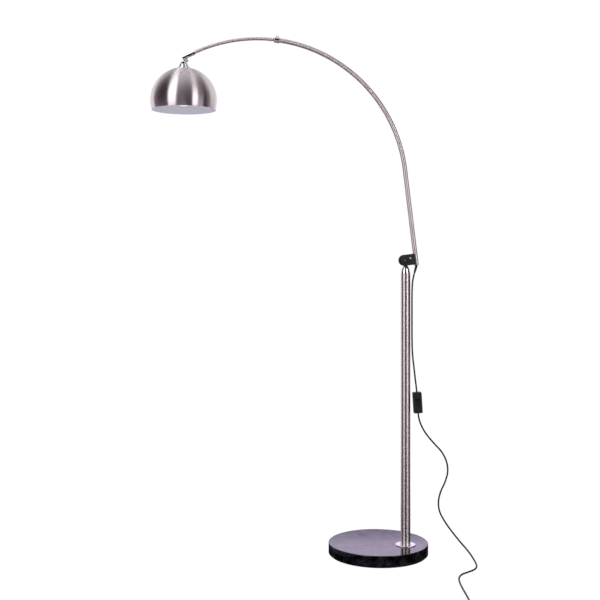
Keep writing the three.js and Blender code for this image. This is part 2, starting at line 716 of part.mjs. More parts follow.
function addKnuckleCup(head) {
  const screwRadius = KNUCKLE_SCREW_DIAMETER / 2;
  const screwBore = screwRadius + BORE_CLEARANCE;
  const slotHalf = LUG_THICKNESS / 2 + GAP;
  const slotFloor = -LUG_RADIUS - EDGE;
  const skirt = 5; // straight part of the cup's foot
  const topRadius = 5.2;
  const shoulderRadius = 8.6;
  const cupProfile = [
    [0, CUP_BOTTOM],
    [CUP_RADIUS, CUP_BOTTOM],
    [CUP_RADIUS, CUP_BOTTOM + skirt],
    [shoulderRadius, CUP_TOP - 1.8],
    [topRadius, CUP_TOP],
    [0, CUP_TOP],
  ];
  const sinkRadius = 4;
  const seat = 8; // depth of the sunk faces from the middle plane
  const sink = (from, to) => facingFront(rod(sinkRadius, from, to, 16));
  const cup = cut(
    turned(cupProfile, 24),
    slab(-CUP_RADIUS - OVER, CUP_RADIUS + OVER, -slotHalf, slotHalf, slotFloor, CUP_TOP + OVER),
    rod(nippleBore, CUP_BOTTOM - OVER, slotFloor + OVER),
    facingFront(rod(screwBore, -CUP_RADIUS, CUP_RADIUS, 12)),
    sink(seat, CUP_RADIUS + OVER),
    sink(-CUP_RADIUS - OVER, -seat),
  );
  add(head, "holder_cup", cup, chrome);

  const screwHead = 2.2;
  const nutHeight = 2.6;
  const nutFlats = 6;
  const face = seat + GAP;
  const screw = join(
    rod(screwRadius, -seat - screwHead, face + OVER, 12),
    rod(sinkRadius - 0.6, face, face + screwHead, 16),
  );
  add(head, "knuckle_screw", facingFront(screw), chrome);
  const nut = cut(
    hexagon(nutFlats, -face - nutHeight, -face),
    rod(screwBore, -face - nutHeight - OVER, 0, 12),
  );
  add(head, "knuckle_nut", facingFront(nut), zinc);

  const capTop = CUP_BOTTOM - GAP;
  const capBottom = capTop - CAP_THICKNESS;
  const capProfile = [
    [nippleBore, capBottom],
    [CAP_RADIUS - EDGE, capBottom],
    [CAP_RADIUS, capBottom + EDGE],
    [CAP_RADIUS, capTop - 2.4],
    [CAP_RADIUS - 0.9, capTop - EDGE],
    [CAP_RADIUS - 2.6, capTop],
    [nippleBore, capTop],
    [nippleBore, capBottom],
  ];
  add(head, "shade_cap", turned(capProfile, 24), chrome);
  const nippleBottom = holderTop - 4;
  const nippleWall = 1.5;
  const nipple = NIPPLE_DIAMETER / 2;
  add(head, "threaded_nipple",
    pipe(nipple, nipple - nippleWall, nippleBottom, slotFloor - GAP, 16), zinc);
}

function addShade(head) {
  const arcSteps = 9;
  const wallPoints = (radius, topHeight) => {
    const from = -Math.asin(SHADE_RIM_DROP / radius);
    const to = Math.asin((topHeight - shadeCentre) / radius);
    const points = [];
    for (let i = 0; i <= arcSteps; i++) {
      const angle = from + ((to - from) * i) / arcSteps;
      points.push([radius * Math.cos(angle), shadeCentre + radius * Math.sin(angle)]);
    }
    return points;
  };
  const outside = wallPoints(SHADE_RADIUS, shadeTop);
  const inside = wallPoints(SHADE_RADIUS - SHADE_WALL, shadeTop - SHADE_WALL);
  const profile = [
    ...outside,
    [nippleBore, shadeTop],
    [nippleBore, shadeTop - SHADE_WALL],
    ...inside.reverse(),
    outside[0],
  ];
  const ventTilt = Math.asin(VENT_RING_RADIUS / SHADE_RADIUS);
  const drill = VENT_DIAMETER / 2;
  const vents = [];
  for (let i = 0; i < VENT_COUNT; i++) {
    const hole = rod(drill, SHADE_RADIUS - drill, SHADE_RADIUS + drill, 6);
    hole.rotateY(ventTilt).rotateZ(((i + 0.5) / VENT_COUNT) * Math.PI * 2);
    vents.push(hole.translate(0, 0, shadeCentre));
  }
  add(head, "shade", cut(turned(profile, 36), ...vents), satinNickel);
}

function addLampholder(head) {
  const radius = HOLDER_DIAMETER / 2;
  const wall = 2;
  const crown = 4; // thickness of the cap's top
  const shoulder = 7;
  const capBottom = holderTop - 16;
  const capProfile = [
    [nippleBore, holderTop - crown],
    [radius - wall - crown, holderTop - crown],
    [radius - wall, holderTop - shoulder - 1],
    [radius - wall, capBottom],
    [radius, capBottom],
    [radius, holderTop - shoulder],
    [radius - crown, holderTop],
    [nippleBore, holderTop],
    [nippleBore, holderTop - crown],
  ];
  add(head, "lampholder_cap", turned(capProfile, 20), whitePlastic);
  const shellWall = 0.8;
  const shellRadius = BULB_CAP_DIAMETER / 2 + 2 * shellWall;
  const bodyBottom = holderTop - HOLDER_LENGTH;
  add(head, "lampholder_body",
    pipe(radius, shellRadius + GAP, bodyBottom, capBottom - GAP, 20), whitePlastic);
  add(head, "lampholder_shell",
    pipe(shellRadius, shellRadius - shellWall, bodyBottom + 3, capBottom + 1, 20), brass);
  const contactTop = holderTop - shoulder;
  const contactBottom = contactTop - 1.2;
  add(head, "lampholder_contact", slab(-4, 4, -3, 3, contactBottom, contactTop), brass);
  return contactBottom - GAP;
}

// A turned shell: the outside runs up from the axis or a rim, and the inside comes back down.
function turnedShell(outside, wall, sides) {
  const inside = outside.map(([radius, height], i) => {
    const before = outside[Math.max(i - 1, 0)];
    const after = outside[Math.min(i + 1, outside.length - 1)];
    const run = Math.hypot(after[0] - before[0], after[1] - before[1]);
    const inwards = [(before[1] - after[1]) / run, (after[0] - before[0]) / run];
    return [radius ? radius + wall * inwards[0] : 0, height + wall * (radius ? inwards[1] : 1)];
  });
  return turned([...outside, ...inside.reverse(), outside[0]], sides);
}

function addBulb(head, bulbTop) {
  const wall = 1;
  const capRadius = BULB_CAP_DIAMETER / 2;
  const capLength = 27;
  const radius = BULB_DIAMETER / 2;
  const centre = bulbTop - BULB_LENGTH + radius;
  const capBottom = bulbTop - capLength;
  const tip = 4.5; // contact at the very top
  const capProfile = [
    [capRadius - wall, capBottom],
    [capRadius, capBottom],
    [capRadius, bulbTop - 4 * wall],
    [tip, bulbTop - wall],
    [tip, bulbTop],
    [0, bulbTop],
    [0, bulbTop - 2 * wall],
    [capRadius - wall, bulbTop - 5 * wall],
    [capRadius - wall, capBottom],
  ];
  add(head, "bulb_cap", turned(capProfile, 18), zinc);
  const globe = [];
  const steps = 9;
  const shoulder = THREE.MathUtils.degToRad(32); // where the neck leaves the round of the globe
  for (let i = 0; i <= steps; i++) {
    const angle = -Math.PI / 2 + ((shoulder + Math.PI / 2) * i) / steps;
    globe.push([i ? radius * Math.cos(angle) : 0, centre + radius * Math.sin(angle)]);
  }
  const neckFoot = globe[steps];
  const neckHead = [capRadius + 0.6, capBottom - GAP];
  const bow = 0.62; // share of the neck's narrowing reached at half its height
  const neckMiddle = [
    neckFoot[0] + (neckHead[0] - neckFoot[0]) * bow,
    (neckFoot[1] + neckHead[1]) / 2,
  ];
  globe.push(neckMiddle, neckHead);
  add(head, "bulb_globe", turnedShell(globe, wall, 18), opal);
}

// ---------------------------------------------------------------- switch on the cord

function addSwitch(lamp) {
  const unit = frameAt(lamp, ...SWITCH_CENTRE);
  unit.rotation.y = SWITCH_LEAN;
  const half = SWITCH_DEPTH / 2;
  const endWall = 8; // solid ends that hold the cord and the screws
  const outline = roundedRectangle(SWITCH_WIDTH, SWITCH_LENGTH, 4);
  const pocket = roundedRectangle(SWITCH_WIDTH - 2 * SWITCH_WALL, SWITCH_LENGTH - 2 * endWall, 3);
  const windowHalf = 6;
  const windowReach = 11;
  const screwRadius = 1.5;
  const screwAlong = SWITCH_LENGTH / 2 - 5;
  const screwEnd = 3.4; // how far the rear screws reach into the front shell
  const screwFace = half - 0.4;
  const screwHole = (z) => {
    const bore = rod(screwRadius + BORE_CLEARANCE, -half - OVER, screwEnd + GAP, 12);
    return facingFront(bore).translate(0, 0, z);
  };
  const front = cut(
    upright(outline, -half, -GAP / 2, 5),
    upright(pocket, SWITCH_WALL - half, OVER, 3),
    slab(-windowHalf, windowHalf, -half - OVER, 0, -windowReach, windowReach),
    screwHole(screwAlong),
    screwHole(-screwAlong),
  );
  const rear = cut(
    upright(outline, GAP / 2, half, 5),
    upright(pocket, -OVER, half - SWITCH_WALL, 3),
    screwHole(screwAlong),
    screwHole(-screwAlong),
  );
  add(unit, "switch_front_shell", front, blackPlastic);
  add(unit, "switch_rear_shell", rear, blackPlastic);
  const screw = (z) => facingFront(rod(screwRadius, -screwFace, screwEnd, 12)).translate(0, 0, z);
  add(unit, "switch_screw_upper", screw(screwAlong), zinc);
  add(unit, "switch_screw_lower", screw(-screwAlong), zinc);

  const rockerHalf = windowHalf - 0.7;
  const reach = windowReach - 1.2;
  const face = half + 1.2;
  const dish = 1.6; // how far its middle lies below its ends
  const endDepth = 4;
  const middleDepth = 7;
  const profile = new THREE.Shape(); // seen from the side: [towards the front, up]
  profile.moveTo(face, reach);
  profile.lineTo(face - dish, 0);
  profile.lineTo(face, -reach);
  profile.lineTo(face - endDepth, -reach);
  profile.lineTo(face - middleDepth, 0);
  profile.lineTo(face - endDepth, reach);
  profile.closePath();
  const rocker = new THREE.ExtrudeGeometry(profile, { depth: 2 * rockerHalf, bevelEnabled: false });
  rocker.translate(0, 0, -rockerHalf).rotateX(Math.PI / 2).rotateZ(-Math.PI / 2);
  const rockerPivot = -half + 2;
  rocker.translate(0, -rockerPivot, 0).rotateX(ROCKER_TILT).translate(0, rockerPivot, 0);
  add(unit, "switch_rocker", rocker, blackPlastic);
}

// ---------------------------------------------------------------- cord, coil and plug

function addCord(lamp) {
  add(lamp, "cord_upper", cordAlong(CORD_UPPER_ROUTE, 24), blackCord);
  add(lamp, "cord_lower", cordAlong(CORD_LOWER_ROUTE, 56), blackCord);

  const half = COIL_SECTION / 2;
  const lift = TIE_THICKNESS + GAP;
  const bevel = 2.2;
  const inner = COIL_RADIUS - half;
  const outer = COIL_RADIUS + half;
  const top = lift + COIL_SECTION;
  const ring = turned(
    [
      [inner + bevel, lift],
      [outer - bevel, lift],
      [outer, lift + bevel],
      [outer, top - bevel],
      [outer - bevel, top],
      [inner + bevel, top],
      [inner, top - bevel],
      [inner, lift + bevel],
      [inner + bevel, lift],
    ],
    24,
  );
  add(lamp, "cord_coil", ring.translate(...COIL_CENTRE, 0), blackCord);

  const tieRoom = half + 2 * GAP;
  const tieTurn = THREE.MathUtils.degToRad(-35);
  const band = new THREE.Shape();
  const hole = new THREE.Path();
  const corners = (path, x, z0, z1) => {
    path.moveTo(-x, z0).lineTo(x, z0);
    path.lineTo(x, z1).lineTo(-x, z1);
    path.closePath();
  };
  corners(band, tieRoom + TIE_THICKNESS, 0, top + GAP + TIE_THICKNESS);
  corners(hole, tieRoom, TIE_THICKNESS, top + GAP);
  band.holes.push(hole);
  const tie = upright(band, -TIE_WIDTH / 2, TIE_WIDTH / 2).translate(-COIL_RADIUS, 0, 0);
  tie.rotateZ(tieTurn).translate(...COIL_CENTRE, 0);
  add(lamp, "cord_tie", tie, pad);
}

function addPlug(lamp) {
  const half = 13;
  const thickness = 13.4;
  const bodyLength = 34;
  const taperLength = 10;
  const neckHalf = 4;
  const corner = 2;
  const bevel = 1.5;
  const reliefLength = 26;
  const reliefOverlap = 3;
  const pinSpacing = 19;
  const pinLength = 19;
  const pinRadius = 2;
  const pinPoint = 1.5;
  const tipSetback = 20;
  const floorRoom = 0.1;
  const faceX = reliefLength + bodyLength;
  const plug = frameAt(
    lamp,
    COIL_CENTRE[0] - tipSetback,
    COIL_CENTRE[1] - COIL_RADIUS - cordRadius,
    thickness / 2 + floorRoom,
  );
  plug.rotation.z = Math.PI; // it points to -X, away from the coil
  const outline = new THREE.Shape();
  outline.moveTo(reliefLength, -neckHalf);
  outline.lineTo(reliefLength + taperLength, -half);
  outline.lineTo(faceX - corner, -half);
  outline.lineTo(faceX, corner - half);
  outline.lineTo(faceX, half - corner);
  outline.lineTo(faceX - corner, half);
  outline.lineTo(reliefLength + taperLength, half);
  outline.lineTo(reliefLength, neckHalf);
  outline.closePath();
  const shell = new THREE.ExtrudeGeometry(outline, {
    depth: thickness - 2 * bevel,
    bevelThickness: bevel,
    bevelSize: bevel,
    bevelOffset: -bevel,
    bevelSegments: 1,
  }).translate(0, 0, bevel - thickness / 2);
  const reliefEnd = reliefLength + reliefOverlap;
  const relief = turned([[0, 0], [3.1, 0], [4.6, reliefEnd], [0, reliefEnd]], 14);
  add(plug, "plug_body", join(shell, relief.rotateY(Math.PI / 2)), blackPlastic);
  const pinProfile = [
    [0, 0],
    [pinRadius, 0],
    [pinRadius, pinLength - pinPoint],
    [pinRadius / 2, pinLength],
    [0, pinLength],
  ];
  for (const [name, side] of [["plug_pin_left", 1], ["plug_pin_right", -1]]) {
    const pin = turned(pinProfile, 12).rotateY(Math.PI / 2);
    pin.translate(faceX + GAP, (side * pinSpacing) / 2, 0);
    add(plug, name, pin, brass);
  }
}

// ---------------------------------------------------------------- the whole lamp

function buildLamp() {
  const lamp = new THREE.Group();
  addBase(lamp);
  addPost(lamp);
  addNeck(lamp);

  const arm = frameAt(lamp, postX - PIVOT_SETOUT, postY, pivotHeight);
  arm.rotation.y = -ARM_LEAN;
  addBracket(arm);
  addOuterArm(arm);
  addInnerArm(arm);
  const knuckle = addSleeve(arm);
  addGland(arm, lamp);

  const head = frameAt(lamp, knuckle.x, knuckle.y, knuckle.z);
  addKnuckleCup(head);
  addShade(head);
  const bulbTop = addLampholder(head);
  addBulb(head, bulbTop);

  addSwitch(lamp);
  addCord(lamp);
  addPlug(lamp);
  return lamp;
}

export default buildLamp();
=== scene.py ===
# %% [markdown]
# # Dressing an arc floor lamp
# The lamp is already machined: a frame of plain, correct solids comes in first, and every piece
# made below is built around it and rides on one of its bodies. Everything is in metres, with +Z
# up, the origin under the middle of the stone base, and the arm reaching towards -X.

# %% The frame
import json
import math

import bmesh
import bpy
from mathutils import Matrix, Vector


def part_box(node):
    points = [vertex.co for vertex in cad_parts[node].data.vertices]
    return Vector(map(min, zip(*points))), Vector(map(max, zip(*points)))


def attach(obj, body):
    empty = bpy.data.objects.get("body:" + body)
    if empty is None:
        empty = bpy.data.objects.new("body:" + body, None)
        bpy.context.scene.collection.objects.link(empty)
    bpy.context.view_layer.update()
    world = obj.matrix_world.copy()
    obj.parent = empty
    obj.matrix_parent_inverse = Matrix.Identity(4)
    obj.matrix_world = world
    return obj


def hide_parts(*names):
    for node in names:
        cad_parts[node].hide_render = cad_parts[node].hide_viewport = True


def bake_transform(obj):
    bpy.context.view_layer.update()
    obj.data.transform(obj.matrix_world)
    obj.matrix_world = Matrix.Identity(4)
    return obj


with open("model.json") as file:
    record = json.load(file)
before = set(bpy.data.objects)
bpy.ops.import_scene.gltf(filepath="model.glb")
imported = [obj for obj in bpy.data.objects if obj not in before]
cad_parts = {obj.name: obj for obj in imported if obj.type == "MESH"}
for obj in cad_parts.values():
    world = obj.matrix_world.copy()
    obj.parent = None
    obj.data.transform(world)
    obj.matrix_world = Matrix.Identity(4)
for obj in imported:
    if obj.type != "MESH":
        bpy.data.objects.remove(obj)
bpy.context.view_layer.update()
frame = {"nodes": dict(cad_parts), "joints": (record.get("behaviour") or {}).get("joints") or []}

MM = 0.001
nodes = frame["nodes"]
joints = {joint["name"]: joint for joint in frame["joints"]}

# %% [markdown]
# ## The camera
# The lamp is looked at straight on, from the height of its hinge. A tall thing is shot level, and
# the lens is slid down instead of tilting the camera, so that the post stays upright: that is
# what the vertical shift does. A long lens from three metres keeps the base's ellipse shallow.

# %% The camera
camera_data = bpy.data.cameras.new("camera")
camera = bpy.data.objects.new("camera", camera_data)
bpy.context.scene.collection.objects.link(camera)
camera.location = (-0.2365, -3.085, 0.887)
camera.rotation_euler = (math.radians(90), 0, 0)
camera_data.sensor_width = 36
camera_data.lens = 61.2
camera_data.shift_y = -0.0658
bpy.context.scene.camera = camera
print("camera lens:", camera_data.lens, "mm")

# %% [markdown]
# ## Where things are
# Three joints give the places that matter: the hinge on top of the post, the centre that the bent
# tubes slide around, and the knuckle over the shade. Each piece is modelled in the millimetres of
# its own little frame, and one matrix puts it in place.

# %% Places
ARM_LEAN = math.radians(6.9)
ARC_RADIUS = 446
ARC_CENTRE = (-411.2, 268.4)  # in the arm's frame, x and z
OUTER_ARC = math.radians(76.4)
SLEEVE_AT = OUTER_ARC + math.radians(31.4)


def at(x, y, z):
    """The matrix of a place in millimetres."""
    return Matrix.Translation(Vector((x, y, z)) * MM)


def turned_to(axis, radians):
    """The matrix of a turn about X, Y or Z."""
    return Matrix.Rotation(radians, 4, axis)


def on_arc(angle):
    """The frame of a piece on the bent tube, with Z along the tube."""
    x = ARC_CENTRE[0] + ARC_RADIUS * math.cos(angle)
    z = ARC_CENTRE[1] + ARC_RADIUS * math.sin(angle)
    return ARM @ at(x, 0, z) @ turned_to("Y", -angle)


flange_low, flange_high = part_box("post_flange")
POST = Matrix.Translation((*((flange_low + flange_high) / 2).xy, 0))
ARM = Matrix.Translation(joints["arm_tilt"]["pos_m"]) @ turned_to("Y", -ARM_LEAN)
HEAD = Matrix.Translation(joints["head_tilt"]["pos_m"])
FRONT = turned_to("X", math.pi / 2)  # lays a piece so that its Z points to the front
print("post axis:", [round(x, 4) for x in POST.translation.xy])

# %% [markdown]
# ## The cord's route
# The lead leaves the foot of the arm through a tapered relief, hangs beside the post, runs
# through a rocker switch and falls in a lazy S to the floor. What is left of its two metres is
# wound up, three turns and a quarter on a tie, with the plug lying beside them. A cord is a
# length of something springy, so its middle line is drawn first, as a smooth curve through chosen
# points, and the tube is only then wrapped round it. The points keep clear of the post and of the
# floor by the cord's own radius.

# %% The cord's points
CORD_DIAMETER = 5 * MM
SWITCH_CENTRE = (114.3, -38, 463)
PLUG_END = (152, -533.5, 6.8)
SWITCH = at(*SWITCH_CENTRE) @ turned_to("Y", math.radians(-3.5))
PLUG = at(*PLUG_END) @ turned_to("Z", math.pi)
CORD_TO_SWITCH = [
    (106.3, -32.3, 851), (103, -34, 838), (99.8, -36, 820), (98.2, -37.5, 790), (98, -38, 740),
    (98, -38, 680), (98.6, -38, 628), (100.6, -38, 596), (104.2, -38, 565), (108.2, -38, 530),
    (112.3, -38, 495),
]
CORD_TO_COIL = [
    (116.3, -38, 431), (122, -38, 404), (137, -38, 374), (161, -38, 344), (187, -38, 315),
    (201.5, -38, 285), (204.5, -38, 255), (196.5, -38, 225), (183.5, -38, 196), (177, -38, 166),
    (181, -38.5, 136), (197, -40, 106), (217.5, -43, 77.5), (240, -50, 50), (255, -58, 33.5),
    (264, -67, 23), (270.5, -80, 14.5), (274.5, -97, 8), (276, -116, 4), (274.8, -133, 2.8),
    (270, -151, 2.8), (259, -171, 2.8), (240, -191, 2.8), (219, -213, 2.8), (206, -247, 2.8),
    (202, -292, 2.8), (202, -340, 3), (203, -390, 3.6), (203, -436, 4.8), (202.6, -483.5, 6),
]
PLUG_TAIL = [(162, -533.6, 5.4), (151, -533.5, 6.8), (146, -533.5, 6.8)]
print("chosen points:", len(CORD_TO_SWITCH) + len(CORD_TO_COIL) + len(PLUG_TAIL))

# %% [markdown]
# ## The coil
# A wound cord lies in lanes: an outer and an inner one, and an upper and a lower layer. The loop
# walks round in equal steps of turn, and eases from one lane to the next over part of a turn, so
# that no two turns run through each other.

# %% The coil's turns
COIL_CENTRE = (172, -503)
COIL_OUTER, COIL_INNER = 30.6, 25.4
COIL_UPPER, COIL_LOWER = 8.9, 3.7
LANE_CHANGE = 60  # degrees of turn that a change of lane takes
# Each change of lane: the degrees of turn where it starts, and the radius and height it ends at.
LANES = [
    (300, COIL_INNER, COIL_UPPER), (600, COIL_INNER, COIL_LOWER), (900, COIL_OUTER, COIL_LOWER),
]
COIL_TURN = 3 * 360 + 90
COIL_STEP = 15


def eased(share):
    """0 to 1 with soft ends."""
    share = min(max(share, 0), 1)
    return share * share * (3 - 2 * share)


def coil_point(turn):
    """A point of the coil, clockwise seen from above, in degrees from its right-hand side."""
    radius, height = COIL_OUTER, COIL_UPPER
    for start, to_radius, to_height in LANES:
        share = eased((turn - start) / LANE_CHANGE)
        radius += (to_radius - radius) * share
        height += (to_height - height) * share
    angle = math.radians(-turn)
    return (
        COIL_CENTRE[0] + radius * math.cos(angle),
        COIL_CENTRE[1] + radius * math.sin(angle),
        height,
    )


coil = [coil_point(turn) for turn in range(0, COIL_TURN + 1, COIL_STEP)]
print("coil:", COIL_TURN / 360, "turns,", round(2 * COIL_OUTER), "mm across")

# %% [markdown]
# ## The smooth line
# Straight hops between the points would look like bent wire. A Catmull-Rom curve passes through
# every point and takes its direction at each from the two beside it, which is close to what a
# springy cord does by itself.


# %% The cord's middle line
def smooth_line(points, steps):
    """A Catmull-Rom curve through points in millimetres, as vectors in metres."""
    p = [Vector(point) * MM for point in points]
    p = [2 * p[0] - p[1], *p, 2 * p[-1] - p[-2]]
    line = []
    for a, b, c, d in zip(p, p[1:], p[2:], p[3:]):
        for i in range(steps):
            t = i / steps
            line.append(
                (2 * b + (c - a) * t + (2 * a - 5 * b + 4 * c - d) * t**2
                 + (3 * b - a - 3 * c + d) * t**3) / 2
            )
    return [*line, p[-2]]


INTO_COIL = (202.7, -493, 8)
cord_points = [*CORD_TO_SWITCH, SWITCH_CENTRE, *CORD_TO_COIL, INTO_COIL, *coil, *PLUG_TAIL]
cord_line = smooth_line(cord_points, 4)

# %% [markdown]
# ## Turning on a lathe
# Most of a lamp is turned on a lathe, so the main helper spins an outline about an axis. The
# outline is a row of (radius, height) pairs, as a turner would note them. A full spin merges its
# last copy with its first, so that the shape closes.


# %% Lathe work
def add_verts(bm, place, points):
    """Vertices at points in millimetres, in the frame of place."""
    return [bm.verts.new(place @ (Vector(point) * MM)) for point in points]


def spin_outline(bm, place, outline, closed=True, segments=96):
    """Spins an outline of (radius, height) in millimetres about the Z axis of place."""
    verts = add_verts(bm, place, [(radius, 0, height) for radius, height in outline])
    pairs = list(zip(verts, verts[1:])) + ([(verts[-1], verts[0])] if closed else [])
    edges = [bm.edges.new(pair) for pair in pairs]
    axis = place.to_3x3() @ Vector((0, 0, 1))
    bmesh.ops.spin(
        bm, geom=verts + edges, cent=place.translation, axis=axis, angle=math.tau,
        steps=segments, use_merge=True,
    )
    return bm


# %% [markdown]
# ## Closing a shape, and its edges
# Points that fall on the axis come out once for every step, so doubles are merged, and then the
# faces are turned outwards. Machined edges are never quite sharp and always catch a thin line of
# light: `soften` bevels every edge that is sharper than a limit, and leaves the smooth rounds
# alone.


# %% Closing and softening
def close_up(bm):
    """Joins doubled vertices and turns the faces outwards."""
    bmesh.ops.remove_doubles(bm, verts=bm.verts, dist=2e-6)
    bmesh.ops.recalc_face_normals(bm, faces=bm.faces)


def face_out(bm, middle):
    """Turns an open skin so that its face nearest to a point inside it looks away from it."""
    close_up(bm)
    near = min(bm.faces, key=lambda face: (face.calc_center_median() - middle).length)
    if near.normal.dot(near.calc_center_median() - middle) < 0:
        bmesh.ops.reverse_faces(bm, faces=bm.faces)


def soften(bm, width, segments=3, sharper=35):
    """Rounds every edge that is sharper than a number of degrees. The width is in millimetres."""
    close_up(bm)
    limit = math.radians(sharper)
    edges = [e for e in bm.edges if len(e.link_faces) == 2 and e.calc_face_angle() > limit]
    bmesh.ops.bevel(
        bm, geom=edges, offset=width * MM, offset_type="OFFSET", segments=segments,
        profile=0.5, affect="EDGES", clamp_overlap=True, material=-1,
    )
    return bm


# %% [markdown]
# ## Drilling
# A hole is a Boolean: a cutter's solid is taken out of the piece. The Boolean is a modifier, so
# piece and cutter become objects for a moment, and the result goes back into the bmesh.


# %% Drilling
def scratch_object(bm, name):
    """A bmesh as an object of the scene."""
    mesh = bpy.data.meshes.new(name)
    bm.to_mesh(mesh)
    made = bpy.data.objects.new(name, mesh)
    bpy.context.scene.collection.objects.link(made)
    return made


def drill(bm, cutter):
    """Takes the cutter's solid out of bm. Both are bmeshes, and the cutter is used up."""
    close_up(bm)
    close_up(cutter)
    blank, tool = scratch_object(bm, "blank"), scratch_object(cutter, "tool")
    cutter.free()
    boolean = blank.modifiers.new("drill", "BOOLEAN")
    boolean.operation, boolean.solver, boolean.object = "DIFFERENCE", "EXACT", tool
    bpy.context.view_layer.update()
    drilled = bpy.data.meshes.new_from_object(
        blank.evaluated_get(bpy.context.evaluated_depsgraph_get())
    )
    bm.clear()
    bm.from_mesh(drilled)
    for spare in (blank, tool):
        bpy.data.objects.remove(spare)
    return bm


# %% [markdown]
# ## Cutters
# Round holes are cut by rods and slots by blocks. A cutter is made a little longer than its hole is
# deep, so that no skin is left over the mouth.


# %% Cutters
def rods(place, *sizes, segments=32):
    """Round cutters along the Z axis of place, each (radius, bottom, top), in one bmesh."""
    bm = bmesh.new()
    for radius, bottom, top in sizes:
        bmesh.ops.create_cone(
            bm, cap_ends=True, segments=segments, radius1=radius * MM, radius2=radius * MM,
            depth=(top - bottom) * MM, matrix=place @ at(0, 0, (bottom + top) / 2),
        )
    return bm


def block(place, low, high, bm=None):
    """A box between two corners, in the frame of place."""
    bm = bm or bmesh.new()
    low, high = Vector(low), Vector(high)
    size = Matrix.Diagonal((*((high - low) * MM), 1))
    bmesh.ops.create_cube(bm, size=1, matrix=place @ at(*((low + high) / 2)) @ size)
    return bm


# %% [markdown]
# ## Which way the brushing runs
# Brushed metal needs to know the direction of its grooves. A UV map gives it: U runs along the
# piece and V round it, so the grooves can be drawn as bands across U, and the shader takes its
# tangent from the same map.


# %% Grain for brushed metal
def lay_grain(bm, along, around):
    """A UV map named grain: U runs along the piece in metres and V round it in turns."""
    grain = bm.loops.layers.uv.new("grain")
    for face in bm.faces:
        middle = around(face.calc_center_median())
        for loop in face.loops:
            turn = around(loop.vert.co) - middle
            loop[grain].uv = (along(loop.vert.co), middle + turn - round(turn))


def upright_grain(bm, place):
    """Grain for a tube or disc that stands on the Z axis of place."""
    back = place.inverted()
    lay_grain(bm, lambda co: (back @ co).z - (back @ co).xy.length,
              lambda co: math.atan2((back @ co).y, (back @ co).x) / math.tau)


# %% [markdown]
# ## Handing a piece over
# A finished shape becomes an object, is shaded smooth except at its sharp edges, and rides on one
# body of the frame, in place of the plain solids it stands for. The weighted normals keep large
# faces evenly shaded beside their narrow bevels.


# %% Making a piece
def make_piece(name, bm, body, finishes, stands_for=(), smooth=32):
    """Writes a finished bmesh to an object that rides on a body of the frame."""
    mesh = bpy.data.meshes.new(name)
    bm.to_mesh(mesh)
    bm.free()
    made = bpy.data.objects.new(name, mesh)
    bpy.context.scene.collection.objects.link(made)
    mesh.shade_smooth()
    mesh.set_sharp_from_angle(angle=math.radians(smooth))
    flat = made.modifiers.new("flat faces", "WEIGHTED_NORMAL")
    flat.keep_sharp = True
    for finish in finishes:
        mesh.materials.append(finish)
    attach(made, body)
    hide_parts(*stands_for)
    print(name + ":", len(mesh.polygons), "faces")
    return made


# %% [markdown]
# ## Colours and nodes
# A finish starts from what the real surface is. Colours are written as the hex values a paint
# chart would give and turned to the linear light that the shader works in. One helper adds a node
# with its settings and links, and another starts a material with its shader's plain values.


# %% Helpers for finishes
def linear(code):
    """A hex colour such as "b9b2ae" as linear RGBA."""
    parts = [int(code[i:i + 2], 16) / 255 for i in (0, 2, 4)]
    return [x / 12.92 if x <= 0.04045 else ((x + 0.055) / 1.055) ** 2.4 for x in parts] + [1]


def add_node(tree, kind, links=None, **settings):
    """Adds a node. settings are its own properties; links gives inputs a value or a socket."""
    made = tree.nodes.new(kind)
    for key, value in settings.items():
        setattr(made, key, value)
    for key, value in (links or {}).items():
        if isinstance(value, bpy.types.NodeSocket):
            tree.links.new(value, made.inputs[key])
        else:
            made.inputs[key].default_value = value
    return made


def new_finish(name, colour, roughness, metallic=0.0, **more):
    """A material with its shader's plain values set. Returns the material, its tree and shader."""
    material = bpy.data.materials.new(name)
    material.use_nodes = True
    shader = material.node_tree.nodes["Principled BSDF"]
    values = {"Base Color": linear(colour), "Roughness": roughness, "Metallic": metallic, **more}
    for key, value in values.items():
        shader.inputs[key].default_value = value
    return material, material.node_tree, shader


# %% [markdown]
# ## Marks of the hand
# No real surface is quite even. A noise of a real size in millimetres makes the gloss vary a
# little and raises a little relief. Most of the noise lies between 0.3 and 0.7, so that stretch
# is spread over the whole range of gloss.


# %% Uneven gloss and relief
def hand_marks(tree, shader, size, gloss, relief):
    """Noise with marks of a size in millimetres: gloss is the range of roughness that it gives,
    and relief the height in millimetres that it raises."""
    coords = add_node(tree, "ShaderNodeTexCoord")
    scale = [1 / (size * MM)] * 3
    mapping = add_node(
        tree, "ShaderNodeMapping", {"Vector": coords.outputs["Object"], "Scale": scale})
    noise = add_node(tree, "ShaderNodeTexNoise",
                     {"Vector": mapping.outputs["Vector"], "Scale": 1.0, "Detail": 3.0})
    if gloss:
        spread = add_node(tree, "ShaderNodeMapRange", {
            "Value": noise.outputs["Fac"], "From Min": 0.3, "From Max": 0.7,
            "To Min": gloss[0], "To Max": gloss[1],
        })
        tree.links.new(spread.outputs["Result"], shader.inputs["Roughness"])
    if relief:
        bump = add_node(tree, "ShaderNodeBump", {
            "Height": noise.outputs["Fac"], "Distance": relief * MM, "Strength": 1.0,
        })
        tree.links.new(bump.outputs["Normal"], shader.inputs["Normal"])
    return noise


# %% [markdown]
# ## Brushed nickel
# The tubes and the shade are steel with a brushed, satin nickel plate. Brushing round the piece
# leaves fine grooves, and the light smears across them: on a tube the reflections stay sharp from
# side to side but run along its length. That is anisotropy, and it needs to know which way the
# grooves go, so these pieces carry a UV map that runs along them. Real grooves are a few
# hundredths of a millimetre apart, too fine to show, so they are drawn ten times as coarse.

